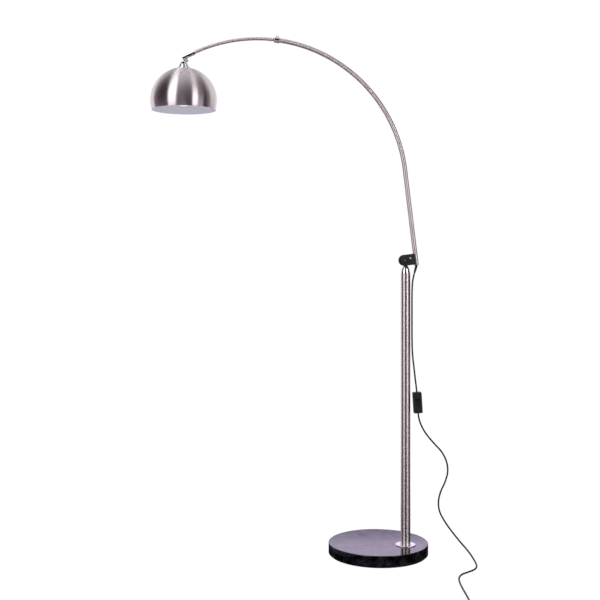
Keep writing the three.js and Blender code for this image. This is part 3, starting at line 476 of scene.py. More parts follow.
# %% Brushed nickel
GROOVE = 0.4  # mm from groove to groove, drawn coarser than real
brushed_nickel, tree, shader = new_finish(
    "satin nickel plate, brushed", "d2c8cd", 0.32, 1.0, Anisotropic=1.0)
tangent = add_node(tree, "ShaderNodeTangent", direction_type="UV_MAP", uv_map="grain")
tree.links.new(tangent.outputs["Tangent"], shader.inputs["Tangent"])
grain_map = add_node(tree, "ShaderNodeUVMap", uv_map="grain")
groove_scale = add_node(tree, "ShaderNodeMapping",
                        {"Vector": grain_map.outputs["UV"], "Scale": (1 / (GROOVE * MM), 3.0, 1.0)})
grooves = add_node(tree, "ShaderNodeTexNoise",
                   {"Vector": groove_scale.outputs["Vector"], "Scale": 1.0, "Detail": 2.0})
groove_gloss = add_node(tree, "ShaderNodeMapRange", {
    "Value": grooves.outputs["Fac"], "From Min": 0.3, "From Max": 0.7,
    "To Min": 0.3, "To Max": 0.34,
})
tree.links.new(groove_gloss.outputs["Result"], shader.inputs["Roughness"])
groove_relief = add_node(tree, "ShaderNodeBump", {
    "Height": grooves.outputs["Fac"], "Distance": 0.001 * MM, "Strength": 1.0})
tree.links.new(groove_relief.outputs["Normal"], shader.inputs["Normal"])
print("brushed nickel made, grooves", GROOVE, "mm apart")

# %% [markdown]
# ## Bright metals
# Small parts are chrome plated. Chrome over polished steel is a mirror; over a blasted or worn
# die casting it is satin, and shows only soft patches of light and dark. The hidden fasteners are
# bright zinc, and the live parts of the holder and the plug are brass.

# %% Bright metals
# A near mirror, with the slight haze of wiping.
chrome, tree, shader = new_finish("chrome plate, polished", "dcdde2", 0.07, 1.0)
hand_marks(tree, shader, 6, (0.05, 0.11), 0.003)
# Soft, cool highlights without a picture in them.
satin_chrome, tree, shader = new_finish("chrome plate, satin", "e6e4ea", 0.32, 1.0)
hand_marks(tree, shader, 3, (0.28, 0.38), 0.003)
# A greyish, cloudy shine.
zinc, tree, shader = new_finish("bright zinc plate on steel", "b3b6ba", 0.35, 1.0)
hand_marks(tree, shader, 1.5, (0.25, 0.45), 0.01)
# Warm and pale, with a thin wash of nickel over it.
brass, tree, shader = new_finish("brass, nickel washed", "c9ad6c", 0.25, 1.0)
hand_marks(tree, shader, 3, (0.2, 0.34), 0.005)
# The dull, slightly yellow cap of a bulb.
cap_nickel, tree, shader = new_finish("nickel-plated brass", "c8c3bb", 0.3, 1.0)
hand_marks(tree, shader, 2, (0.24, 0.4), 0.01)
print("metals made")

# %% [markdown]
# ## Black stone
# The base is black stone, cut and polished: a glossy face over black, with faint grey clouds
# about two centimetres across. A noise picks its colour from a ramp between two near blacks, and
# the same noise makes the polish a little uneven.

# %% Black stone
stone, tree, shader = new_finish("black stone, polished", "08080a", 0.08, IOR=1.54)
clouds = hand_marks(tree, shader, 22, (0.05, 0.13), 0)
cloud_colours = add_node(tree, "ShaderNodeValToRGB", {"Fac": clouds.outputs["Fac"]})
cloud_colours.color_ramp.elements[0].position = 0.42
cloud_colours.color_ramp.elements[0].color = linear("040405")
cloud_colours.color_ramp.elements[1].position = 0.7
cloud_colours.color_ramp.elements[1].color = linear("201e25")
tree.links.new(cloud_colours.outputs["Color"], shader.inputs["Base Color"])
print("stone made")

# %% [markdown]
# ## Paint, plastic, felt and glass
# Each of these is a plain colour that lives by its surface: the size of its marks and how far
# they change the gloss tell powder from moulding and felt from enamel.

# %% Other finishes
# Paint powder melted on: black, low gloss, pebbled like fine orange peel.
powder_coat, tree, shader = new_finish("black powder coat, pebbled", "0c0c0f", 0.5, IOR=1.5)
hand_marks(tree, shader, 0.9, (0.42, 0.62), 0.12)
# Moulded in a spark-eroded steel mould: an even, fine, half-dull grain.
moulded_black, tree, shader = new_finish("black ABS, moulded", "07070b", 0.45, IOR=1.53)
hand_marks(tree, shader, 0.35, (0.36, 0.5), 0.02)
# Softer and a little greasier to the eye than the hard plastic.
cord_pvc, tree, shader = new_finish("black PVC cord jacket", "0a0a0c", 0.5, IOR=1.53)
hand_marks(tree, shader, 1.2, (0.36, 0.52), 0.03)
# Fibres that swallow nearly all light.
felt, tree, shader = new_finish("black felt", "1a1a1b", 0.95, IOR=1.5)
hand_marks(tree, shader, 0.8, (0.88, 1.0), 0.2)
# A smooth, cool white with a wide soft gloss.
enamel, tree, shader = new_finish("white enamel", "dbd9e3", 0.35, IOR=1.5)
hand_marks(tree, shader, 2.5, (0.3, 0.42), 0.02)
# The white of household fittings, half dull.
white_abs, tree, shader = new_finish("white ABS, moulded", "e9e8e4", 0.4, IOR=1.53)
hand_marks(tree, shader, 0.35, (0.36, 0.48), 0.02)
# Milky glass: light enters and comes out again a few millimetres on.
opal_glass, tree, shader = new_finish("opal glass", "f6f4ef", 0.22, IOR=1.5)
shader.inputs["Subsurface Weight"].default_value = 0.2
shader.inputs["Subsurface Scale"].default_value = 4 * MM
hand_marks(tree, shader, 12, (0.18, 0.26), 0)
print("finishes made:", len(bpy.data.materials))

# %% [markdown]
# ## The cord
# A curve with a round bevel is the quickest true tube: it is swept along the middle line without
# a twist and then becomes a mesh. The stretch between the relief and the post would have to bend
# when the arm tilts, but this mesh stays where it is made and rides on no body.

# %% The cord
curve = bpy.data.curves.new("cord line", "CURVE")
curve.dimensions = "3D"
curve.bevel_depth = CORD_DIAMETER / 2
curve.bevel_resolution = 4
curve.use_fill_caps = True
spline = curve.splines.new("POLY")
spline.points.add(len(cord_line) - 1)
for point, place in zip(spline.points, cord_line):
    point.co = (*place, 1)
swept = bpy.data.objects.new("swept", curve)
bpy.context.scene.collection.objects.link(swept)
bpy.context.view_layer.update()
cord_mesh = bpy.data.meshes.new_from_object(
    swept.evaluated_get(bpy.context.evaluated_depsgraph_get())
)
bpy.data.objects.remove(swept)
cord_mesh.shade_smooth()
cord_mesh.materials.clear()
cord_mesh.materials.append(cord_pvc)
cord = bpy.data.objects.new("cord", cord_mesh)
bpy.context.scene.collection.objects.link(cord)
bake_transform(cord)
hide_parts("cord_upper", "cord_lower", "cord_coil")
print("cord:", len(cord_mesh.polygons), "faces")

# %% [markdown]
# ## The strain relief
# Where the lead leaves the arm it would soon crack, so a tapered sleeve of the same soft PVC
# spreads the bend. Its ribs are an outline with steps in it, spun about the line from the arm to
# the cord.

# %% The strain relief
relief_foot = (ARM @ at(34.8, 0, -19.5)).translation
relief_tip = Vector(CORD_TO_SWITCH[0]) * MM
relief_axis = relief_tip - relief_foot
relief_turn = relief_axis.to_track_quat("Z", "Y").to_matrix().to_4x4()
relief_place = Matrix.Translation(relief_foot) @ relief_turn
relief_length = relief_axis.length / MM - 0.2
relief_outline = [(0, -1.4), (2.5, -1.4), (2.5, 1.5), (4.2, 1.5), (4.2, 4)]
RIBS = 5
for rib in range(RIBS):
    low = 5 + (relief_length - 6) * rib / RIBS
    high = low + (relief_length - 6) / RIBS * 0.62
    radius = 4.1 - 0.7 * rib / RIBS
    relief_outline += [
        (radius - 0.7, low), (radius, low + 0.2), (radius, high), (radius - 0.7, high + 0.2)]
relief_outline += [(3.0, relief_length), (0, relief_length)]
bm = spin_outline(bmesh.new(), relief_place, relief_outline, closed=False, segments=40)
soften(bm, 0.15, 2)
strain_relief = make_piece(
    "strain_relief", bm, "arm", [cord_pvc], ["cord_relief"])

# %% [markdown]
# ## The base
# A heavy disc of stone keeps the lamp up. The lathe outline is a plain rectangle whose two rims
# get a round bevel, as the stone polisher leaves it, and the underside has the pocket that hides
# the bolt.

# %% The stone base
STONE_RADIUS, STONE_FOOT, STONE_TOP = 150, 3.3, 36
bm = spin_outline(
    bmesh.new(), Matrix(),
    [(0, STONE_FOOT), (STONE_RADIUS, STONE_FOOT), (STONE_RADIUS, STONE_TOP), (0, STONE_TOP)],
    closed=False, segments=160)
soften(bm, 2, 5)
drill(bm, spin_outline(
    bmesh.new(), POST, [(0, 0), (23, 0), (23, 17.3), (5.3, 17.3), (5.3, 40), (0, 40)],
    closed=False, segments=64))
make_piece("stone_base", bm, "stand", [stone], ["base_disc"])

# %% [markdown]
# ## The post
# Two lengths of nickel-plated tube meet at a hair-thin seam half way up. Each is a thin ring
# section spun into a pipe, so it is hollow, and its ends have a tiny bevel that draws the seam. A
# chrome ring dresses the hole in the stone.

# %% The post
POST_RADIUS, POST_BORE = 14.5, 13.3
POST_FOOT, SEAM_LOW, SEAM_HIGH, POST_TOP = 36.3, 454.15, 454.45, 847.3
for name, low, high in (("post_lower", POST_FOOT, SEAM_LOW), ("post_upper", SEAM_HIGH, POST_TOP)):
    bm = spin_outline(bmesh.new(), POST, [
        (POST_BORE, low), (POST_RADIUS, low), (POST_RADIUS, high), (POST_BORE, high)])
    soften(bm, 0.3, 2)
    upright_grain(bm, POST)
    make_piece(name, bm, "stand", [brushed_nickel], [name + "_tube"])

RING_BORE, RING_RADIUS, RING_THICK = 14.8, 30, 2
bm = spin_outline(bmesh.new(), POST, [
    (RING_BORE, POST_FOOT), (RING_RADIUS, POST_FOOT),
    (RING_RADIUS, POST_FOOT + RING_THICK), (RING_BORE, POST_FOOT + RING_THICK)])
soften(bm, 0.6, 3)
make_piece("flange_ring", bm, "stand", [satin_chrome], ["post_flange"])

# %% [markdown]
# ## The neck
# A chromed cone closes the post and carries the hinge. It is turned, then bored for the tongue's
# foot and drilled at the side for the set screw that stops it from turning.

# %% The neck
bm = spin_outline(
    bmesh.new(), POST,
    [(0, 823.6), (5, 823.6), (5, 847.6), (14.5, 847.6), (14.5, 848.8), (12.8, 858.6), (10.5, 866),
     (7, 870.6), (0, 870.6)],
    closed=False,
)
soften(bm, 0.5, 4, sharper=8)
GRUB_HEIGHT, GRUB_TURN = 852.6, math.radians(-55)
grub_place = POST @ at(0, 0, GRUB_HEIGHT) @ turned_to("Z", GRUB_TURN) @ turned_to("Y", math.pi / 2)
drill(bm, rods(POST, (4.1, 858.3, 872)))
drill(bm, rods(grub_place, (2.8, 7.6, 16)))
make_piece("neck", bm, "stand", [chrome], ["neck_cone"], smooth=40)

# %% [markdown]
# ## The hinge bracket
# Two cheek plates clamp the tongue on one side and the arm on the other. Their outline starts as
# a single vertex that is spun half a turn, which draws the round nose; two more corners finish
# it. The face is extruded to the plate's thickness, its corners are rounded, and then the rims.


# %% The bracket plates
NOSE_RADIUS, PLATE_END = 16.5, 32.6


def cheek_plate(front, back):
    """A plate in the arm's frame, standing between two depths in millimetres."""
    bm = bmesh.new()
    nose = add_verts(bm, ARM, [(0, front, -NOSE_RADIUS)])
    spun = bmesh.ops.spin(
        bm, geom=nose, cent=ARM.translation + (ARM.to_3x3() @ Vector((0, front * MM, 0))),
        axis=ARM.to_3x3() @ Vector((0, 1, 0)), angle=math.pi, steps=40,
    )
    end = [v for v in spun["geom_last"] if isinstance(v, bmesh.types.BMVert)][0]
    corners = add_verts(
        bm, ARM, [(PLATE_END, front, NOSE_RADIUS), (PLATE_END, front, -NOSE_RADIUS)])
    for pair in zip([end, *corners], [*corners, nose[0]]):
        bm.edges.new(pair)
    bmesh.ops.contextual_create(bm, geom=bm.edges[:])
    out = bmesh.ops.extrude_face_region(bm, geom=bm.faces[:])
    moved = [v for v in out["geom"] if isinstance(v, bmesh.types.BMVert)]
    step = ARM.to_3x3() @ Vector((0, (back - front) * MM, 0))
    bmesh.ops.translate(bm, verts=moved, vec=step)
    back_to_arm = ARM.inverted()
    corner_edges = [e for e in bm.edges if all((back_to_arm @ v.co).x > 0.03 for v in e.verts)
                    and abs((e.verts[0].co - e.verts[1].co).y) > 0.001]
    bmesh.ops.bevel(bm, geom=corner_edges, offset=2.5 * MM, offset_type="OFFSET", segments=6,
                    profile=0.5, affect="EDGES", clamp_overlap=True, material=-1)
    soften(bm, 0.6, 3, sharper=50)
    drill(bm, rods(ARM @ FRONT, (4.3, -20, 20)))
    return drill(bm, rods(ARM @ at(18.1, 0, 3.3) @ FRONT, (2.8, -20, 20)))


for name, front, back in (("front", -11.05, -7.55), ("rear", 7.55, 11.05)):
    make_piece("cheek_" + name, cheek_plate(front, back), "arm", [powder_coat],
               ["bracket_" + name + "_plate"])

# %% [markdown]
# ## The tilt knob
# The knob has to be turned hard by hand, so it has six lobes. A disc of many points has each
# point drawn in or out by a cosine of its angle, then it is extruded and its rims are rounded.
# One turned cutter bores it for the bolt and sinks a shallow dish in its front, where the bolt's
# tip shows.

# %% The tilt knob
KNOB_BACK, KNOB_FRONT = 12.85, 26.85
KNOB_RADIUS, LOBES, LOBE_DEPTH = 11.5, 6, 1.7
KNOB = ARM @ FRONT
bm = bmesh.new()
disc = bmesh.ops.create_circle(bm, cap_ends=True, radius=KNOB_RADIUS * MM, segments=144,
                               matrix=at(0, 0, KNOB_BACK))
for vert in disc["verts"]:
    lobe = math.cos(LOBES * math.atan2(vert.co.x, vert.co.y))
    vert.co.xy *= 1 - LOBE_DEPTH / 2 * (1 - lobe) / KNOB_RADIUS
out = bmesh.ops.extrude_face_region(bm, geom=bm.faces[:])
moved = [v for v in out["geom"] if isinstance(v, bmesh.types.BMVert)]
bmesh.ops.translate(bm, verts=moved, vec=(0, 0, (KNOB_FRONT - KNOB_BACK) * MM))
soften(bm, 1.4, 4, sharper=70)
bm.transform(KNOB)
drill(bm, spin_outline(
    bmesh.new(), KNOB, [(0, 11), (4.3, 11), (4.3, 23.15), (2.3, 23.15), (2.3, 26.05), (7.2, 26.05),
                        (7.2, 28), (0, 28)],
    closed=False, segments=48))
make_piece("tilt_grip", bm, "tilt_knob", [moulded_black], ["tilt_knob"], smooth=40)

# %% [markdown]
# ## The bent tubes
# The arm is one tube bent on a former and a thinner one that slides in it, so both share the same
# centre of bend. A ring is extruded up the straight foot and then spun about that centre: the
# very motion of the bending machine. Solidify then gives the skin its wall, inwards.


# %% The bent tubes
ARM_OFFSET = 34.8  # mm from the hinge to the straight foot of the tube


def bent_tube(radius, wall, straight, start, end, steps):
    """A hollow tube along the arm, with a straight foot of a length before the bend."""
    bm = bmesh.new()
    foot = ARM @ at(ARM_OFFSET, 0, ARC_CENTRE[1] - straight) if straight else on_arc(start)
    bmesh.ops.create_circle(bm, cap_ends=False, radius=radius * MM, segments=40, matrix=foot)
    last = bm.edges[:]
    if straight:
        out = bmesh.ops.extrude_edge_only(bm, edges=last)["geom"]
        verts = [v for v in out if isinstance(v, bmesh.types.BMVert)]
        last = [e for e in out if isinstance(e, bmesh.types.BMEdge)]
        bmesh.ops.translate(bm, verts=verts, vec=ARM.to_3x3() @ Vector((0, 0, straight * MM)))
    centre = Vector(joints["arm_extension"]["pos_m"])
    bmesh.ops.spin(bm, geom=last + list({v for e in last for v in e.verts}), cent=centre,
                   axis=(0, -1, 0), angle=end - start, steps=steps)
    face_out(bm, foot.translation)
    bmesh.ops.solidify(bm, geom=bm.faces[:], thickness=wall * MM)
    soften(bm, 0.2, 2, sharper=60)

    def polar(co):
        """Radius from the centre of the bend, angle of bend and side offset, of a point."""
        v = co - centre
        angle = math.atan2(v.z, v.x) - ARM_LEAN
        if angle > 0:
            return math.hypot(v.x, v.z), angle * ARC_RADIUS * MM, v.y
        straightened = ARM.to_3x3().inverted() @ v
        return straightened.x, straightened.z, v.y

    lay_grain(bm, lambda co: polar(co)[1],
              lambda co: math.atan2(polar(co)[2], polar(co)[0] - ARC_RADIUS * MM) / math.tau)
    return bm


WALL, OUTER_RADIUS, INNER_RADIUS = 1, 7.25, 5.25
STRAIGHT_FOOT = 285.7
INNER_START = math.radians(39.5)  # where the thin tube's hidden end lies in the other
IN_SLEEVE = 20  # mm of the thin tube inside the sleeve
bm = bent_tube(OUTER_RADIUS, WALL, STRAIGHT_FOOT, 0, OUTER_ARC, 72)
make_piece("outer_tube", bm, "arm", [brushed_nickel], ["outer_arm_tube"])
bm = bent_tube(INNER_RADIUS, WALL, 0, INNER_START, SLEEVE_AT + IN_SLEEVE / ARC_RADIUS, 72)
make_piece("inner_tube", bm, "inner_arm", [brushed_nickel], ["inner_arm_tube"])

# %% [markdown]
# ## The sliding clamp
# A chromed collar dresses the mouth of the outer tube, and a small knurled screw through it grips
# the inner one. Knurling is a ring of fine teeth: every other corner of a many-sided disc is drawn
# in before the disc is extruded.

# %% The collar
HALF_COLLAR = 8
SCREW_AT = OUTER_ARC - HALF_COLLAR / ARC_RADIUS
COLLAR = on_arc(SCREW_AT)
screw_place = COLLAR @ turned_to("Y", math.pi / 2)
bm = spin_outline(
    bmesh.new(), COLLAR,
    [(7.85, -HALF_COLLAR), (9.85, -HALF_COLLAR), (9.85, HALF_COLLAR), (7.85, HALF_COLLAR)],
    segments=64)
soften(bm, 0.7, 3)
drill(bm, rods(screw_place, (2.3, 5, 12)))
make_piece("collar", bm, "arm", [chrome], ["clamp_collar"])

# %% [markdown]
# ## The thumb screw
# The screw is made standing up at the origin, where its head is easy to shape, and moved into the
# collar at the end.

# %% The thumb screw
KNURL_RADIUS, KNURL_FOOT, KNURL_HEIGHT, TOOTH = 4.5, 10.15, 6.4, 0.92
bm = bmesh.new()
disc = bmesh.ops.create_circle(bm, cap_ends=True, radius=KNURL_RADIUS * MM, segments=56,
                               matrix=at(0, 0, KNURL_FOOT))
for vert in disc["verts"][::2]:
    vert.co.xy *= TOOTH
out = bmesh.ops.extrude_face_region(bm, geom=bm.faces[:])
moved = [v for v in out["geom"] if isinstance(v, bmesh.types.BMVert)]
bmesh.ops.translate(bm, verts=moved, vec=(0, 0, KNURL_HEIGHT * MM))
rims = [e for e in bm.edges if abs(e.verts[0].co.z - e.verts[1].co.z) < 1e-6]
bmesh.ops.bevel(bm, geom=rims, offset=0.6 * MM, offset_type="OFFSET", segments=2, profile=0.5,
                affect="EDGES", clamp_overlap=True, material=-1)
spin_outline(bm, Matrix(), [(0, 5.55), (1.6, 5.55), (2, 6), (2, 11), (0, 11)],
             closed=False, segments=24)
close_up(bm)
bm.transform(screw_place)
make_piece("thumb_grip", bm, "thumb_screw", [chrome], ["thumb_screw"])

# %% [markdown]
# ## A shape that is nearly right
# Some solids of the frame have the right shape already and lack only the soft edges of a real
# part. A copy is merged, cleared of the flat triangles that a CAD export leaves, and bevelled.


# %% Softened copies
def softened(node, body, finish, width=0.3, sharper=35):
    """A copy of a frame node with its rounds shaded smooth and its edges bevelled."""
    bm = bmesh.new()
    bm.from_mesh(nodes[node].data)
    close_up(bm)
    bmesh.ops.dissolve_limit(bm, angle_limit=math.radians(1), verts=bm.verts, edges=bm.edges)
    soften(bm, width, 2, sharper)
    return make_piece(node + "_soft", bm, body, [finish], [node], smooth=38)


# %% [markdown]
# ## The sleeve and the knuckle
# A straight chromed sleeve is pinned on the end of the arm, and the lug welded under it carries
# the lamp head. The sleeve is turned with a closed end; the small hole in front takes its set
# screw.

# %% The sleeve
SLEEVE = on_arc(SLEEVE_AT)
bm = spin_outline(
    bmesh.new(), SLEEVE,
    [(5.95, 0), (7.5, 0), (7.5, 39.8), (6.6, 41), (0, 41), (0, 37), (5.95, 37)],
    closed=True, segments=64,
)
soften(bm, 0.5, 3, sharper=25)
drill(bm, rods(SLEEVE @ at(0, 0, 8) @ FRONT, (2.3, 4.9, 9)))
make_piece("sleeve", bm, "inner_arm", [chrome], ["head_sleeve"])
softened("knuckle_lug", "inner_arm", satin_chrome, 0.5)

# %% [markdown]
# ## The cup
# The cup below the knuckle swallows the lug in a sawn slot, which is what lets the head tilt. It
# is turned, then slotted across, bored from below for the threaded tube, and drilled for the
# screw that is the head's hinge, with a wide sink for its head and one for its nut.

# %% The cup
bm = spin_outline(
    bmesh.new(), HEAD,
    [(0, -9.5), (14, -9.5), (14, -4.5), (8.6, 4.7), (5.2, 6.5), (0, 6.5)],
    closed=False, segments=72,
)
soften(bm, 0.8, 3, sharper=20)
drill(bm, block(HEAD, (-16, -3.3, -5.8), (16, 3.3, 8)))
drill(bm, rods(HEAD, (5.3, -11, -4)))
drill(bm, rods(HEAD @ FRONT, (2.3, -14, 14)))
drill(bm, rods(HEAD @ FRONT, (4, 8, 16), (4, -16, -8)))
make_piece("cup", bm, "head", [satin_chrome], ["holder_cup"], smooth=40)

# %% [markdown]
# ## The cap
# A low turned ring spreads the load of the cup over the thin top of the shade. Its rim steps up
# in two small cones, which is where a turned cap catches the light.

# %% The cap
bm = spin_outline(
    bmesh.new(), HEAD,
    [(5.3, -17.5), (18.5, -17.5), (18.5, -12.2), (17.6, -10.6), (15.9, -9.8), (5.3, -9.8)],
    segments=80,
)
soften(bm, 0.5, 3, sharper=20)
make_piece("cap", bm, "head", [satin_chrome], ["shade_cap"])

# %% [markdown]
# ## The shade
# A dome spun from sheet steel, brushed outside and enamelled white inside. One vertex at the rim
# is spun about the dome's centre to draw its curve, a flat land is added on top, and the curve is
# spun round the lamp's axis. Solidify gives the sheet its thickness, a ring of drilled holes lets
# the heat out, and the inside faces take the enamel.

# %% The shade
SHADE_RADIUS, SHADE_WALL = 100, 0.8
LAND_RISE, RIM_DROP, VENT_RISE = 94.742, 27, 69  # mm from the dome's centre
LAND_UNDER_HEAD = 17.8
DOME = HEAD @ at(0, 0, -LAND_UNDER_HEAD - LAND_RISE)
rim_angle, top_angle = -math.asin(RIM_DROP / SHADE_RADIUS), math.asin(LAND_RISE / SHADE_RADIUS)
bm = bmesh.new()
rim_place = (SHADE_RADIUS * math.cos(rim_angle), 0, SHADE_RADIUS * math.sin(rim_angle))
rim = add_verts(bm, DOME, [rim_place])
arc = bmesh.ops.spin(bm, geom=rim, cent=DOME.translation, axis=(0, -1, 0),
                     angle=top_angle - rim_angle, steps=44)
shoulder = [v for v in arc["geom_last"] if isinstance(v, bmesh.types.BMVert)][0]
land = add_verts(bm, DOME, [(5.3, 0, LAND_RISE)])[0]
bm.edges.new((shoulder, land))
bmesh.ops.spin(bm, geom=bm.verts[:] + bm.edges[:], cent=DOME.translation, axis=(0, 0, 1),
               angle=math.tau, steps=144, use_merge=True)
face_out(bm, DOME.translation)
bmesh.ops.solidify(bm, geom=bm.faces[:], thickness=SHADE_WALL * MM)
furthest = max((v.co - DOME.translation).length for v in bm.verts) / MM
soften(bm, 0.25, 2, sharper=60)
print("shade reaches", round(furthest, 2), "mm from its centre")

# %% [markdown]
# ## The vents, the enamel and the brushing
# Eighteen holes are drilled square to the dome. Faces nearer to the centre than the middle of the
# sheet are the inside and take the enamel; the grain of the outside runs round the dome, as the
# brush did while the shade turned.

# %% The vents and the two faces of the sheet
VENTS, VENT_RADIUS, CUT_DEEP = 18, 3.5, 8
vents = bmesh.new()
for vent in range(VENTS):
    round_the_dome = turned_to("Z", math.tau * (vent + 0.5) / VENTS)
    place = DOME @ round_the_dome @ turned_to("Y", math.asin(VENT_RISE / SHADE_RADIUS))
    bmesh.ops.create_cone(
        vents, cap_ends=True, segments=28, radius1=VENT_RADIUS * MM, radius2=VENT_RADIUS * MM,
        depth=CUT_DEEP * MM, matrix=place @ at(0, 0, SHADE_RADIUS))
drill(bm, vents)
inside = SHADE_RADIUS - SHADE_WALL / 2
for face in bm.faces:
    middle = (face.calc_center_median() - DOME.translation) / MM
    is_inside = middle.length < inside and middle.z < LAND_RISE - SHADE_WALL / 2
    face.material_index = int(is_inside)
lay_grain(
    bm,
    lambda co: 0.1 * math.atan2((co - DOME.translation).xy.length, (co - DOME.translation).z),
    lambda co: math.atan2((co - DOME.translation).y, (co - DOME.translation).x) / math.tau,
)
make_piece("shade_dome", bm, "head", [brushed_nickel, enamel], ["shade"])

# %% [markdown]
# ## The lampholder
# Under the dome sits a moulded lampholder in two halves, with the brass screw shell inside. All
# three are turned shapes, so one loop makes them from their outlines.

# %% The lampholder
holder = {
    "holder_cap": ([(5.3, -22.9), (13, -22.9), (17, -26.9), (17, -34.9), (19, -34.9), (19, -25.9),
                    (15, -18.9), (5.3, -18.9)], "lampholder_cap", "white_plastic", white_abs),
    "holder_body": ([(14.9, -54.9), (19, -54.9), (19, -35.2), (14.9, -35.2)],
                    "lampholder_body", "white_plastic", white_abs),
    "holder_shell": ([(13.8, -51.9), (14.6, -51.9), (14.6, -33.9), (13.8, -33.9)],
                     "lampholder_shell", "brass", brass),
}
for name, (outline, node, slot, finish) in holder.items():
    bm = spin_outline(bmesh.new(), HEAD, outline, segments=64)
    soften(bm, 0.3, 2, sharper=25)
    make_piece(name, bm, "head", [finish], [node])

# %% [markdown]
# ## The bulb
# An opal globe is blown glass: a sphere that runs out into a neck. Its outline starts as one
# vertex at the lowest point, spun about the globe's centre up to the shoulder; a few more points
# draw the neck, and the line is spun round and given the glass's thickness.

# %% The bulb
GLOBE_RADIUS, GLOBE_UNDER_HEAD = 30, 98.4
BULB = HEAD @ at(0, 0, -GLOBE_UNDER_HEAD)
bm = bmesh.new()
pole = add_verts(bm, BULB, [(0, 0, -GLOBE_RADIUS)])
arc = bmesh.ops.spin(bm, geom=pole, cent=BULB.translation, axis=(0, -1, 0),
                     angle=math.radians(90 + 32), steps=28)
shoulder = [v for v in arc["geom_last"] if isinstance(v, bmesh.types.BMVert)]
neck_line = [(22.4, 20.6), (19.6, 25.6), (17.3, 31), (15.2, 37), (13.6, 43.7)]
neck = add_verts(bm, BULB, [(radius, 0, height) for radius, height in neck_line])
for pair in zip(shoulder + neck, neck):
    bm.edges.new(pair)
bmesh.ops.spin(bm, geom=bm.verts[:] + bm.edges[:], cent=BULB.translation, axis=(0, 0, 1),
               angle=math.tau, steps=72, use_merge=True)
face_out(bm, BULB.translation)
bmesh.ops.solidify(bm, geom=bm.faces[:], thickness=1 * MM)
make_piece("globe", bm, "bulb", [opal_glass], ["bulb_globe"])
softened("bulb_cap", "bulb", cap_nickel, 0.3)

# %% [markdown]
# ## The switch
# A moulded body in two halves, split along its middle, hangs on the lead. Each half is a block
# whose upright corners are rounded first and its face rim second, because two bevels of different
# sizes need two passes. A window and a pocket are then cut for the rocker.


# %% The switch
HALF_WIDE, HALF_DEEP, HALF_TALL, SPLIT = 13.5, 10, 31.5, 0.15


def switch_half(near, far, face):
    """Half of the switch between two depths; face is the depth whose rim is rounded."""
    bm = block(SWITCH, (-HALF_WIDE, near, -HALF_TALL), (HALF_WIDE, far, HALF_TALL))
    back = SWITCH.inverted()
    upright = [e for e in bm.edges if abs((e.verts[0].co - e.verts[1].co).y) > 0.005]
    bmesh.ops.bevel(bm, geom=upright, offset=4 * MM, offset_type="OFFSET", segments=8, profile=0.5,
                    affect="EDGES", clamp_overlap=True, material=-1)
    rim = [e for e in bm.edges if all(abs((back @ v.co).y - face * MM) < 1e-5 for v in e.verts)]
    bmesh.ops.bevel(bm, geom=rim, offset=2.2 * MM, offset_type="OFFSET", segments=5, profile=0.5,
                    affect="EDGES", clamp_overlap=True, material=-1)
    return bm


screw_holes = [SWITCH @ at(0, 0, z) @ FRONT for z in (-26.5, 26.5)]
bm = switch_half(-HALF_DEEP, -SPLIT, -HALF_DEEP)
drill(bm, block(SWITCH, (-11.7, -8.2, -23.5), (11.7, 1, 23.5)))
drill(bm, block(SWITCH, (-6, -12, -11), (6, 0, 11)))
soften(bm, 0.25, 2, sharper=60)
make_piece("switch_front", bm, "stand", [moulded_black], ["switch_front_shell"])
bm = switch_half(SPLIT, HALF_DEEP, HALF_DEEP)
drill(bm, block(SWITCH, (-11.7, -1, -23.5), (11.7, 8.2, 23.5)))
for place in screw_holes:
    drill(bm, rods(place, (1.8, -12, 1)))
make_piece("switch_back", bm, "stand", [moulded_black], ["switch_rear_shell"])
softened("switch_rocker", "switch_rocker", moulded_black, 0.4, 20)

# %% [markdown]
# ## The plug
# A moulded two-pin plug: a block that narrows towards the lead, with all its edges well rounded,
# and a ribbed relief. It lies on the floor by the coil, which a strap holds together. The block
# is cut into slices along its length first, so that there are points to draw in.

# %% The plug
bm = block(PLUG, (26, -13, -6.7), (60, 13, 6.7))
back = PLUG.inverted()
bmesh.ops.subdivide_edges(
    bm, edges=[e for e in bm.edges if abs((back @ e.verts[0].co - back @ e.verts[1].co).x) > 0.01],
    cuts=3, use_grid_fill=True)
NARROW, LOW = 0.42, 0.8  # the lead's end, as shares of the plug's width and height
for vert in bm.verts:
    local = back @ vert.co
    share = eased((local.x / MM - 26) / 22)
    local.y *= NARROW + (1 - NARROW) * share
    local.z *= LOW + (1 - LOW) * share
    vert.co = PLUG @ local
soften(bm, 2.6, 4, sharper=50)
relief_ribs = [(0, 0), (3.1, 0)]
for rib in range(6):
    low = 2 + 4 * rib
    radius = 3.5 + 0.22 * rib
    relief_ribs += [
        (radius - 0.5, low), (radius, low + 0.3), (radius, low + 2.4), (radius - 0.5, low + 2.7)]
relief_ribs += [(4.8, 29), (0, 29)]
spin_outline(bm, PLUG @ turned_to("Y", math.pi / 2), relief_ribs, closed=False, segments=36)
close_up(bm)
plug = make_piece("plug", bm, "stand", [moulded_black], ["plug_body"], smooth=40)
tie = softened("cord_tie", "stand", felt, 0.25)
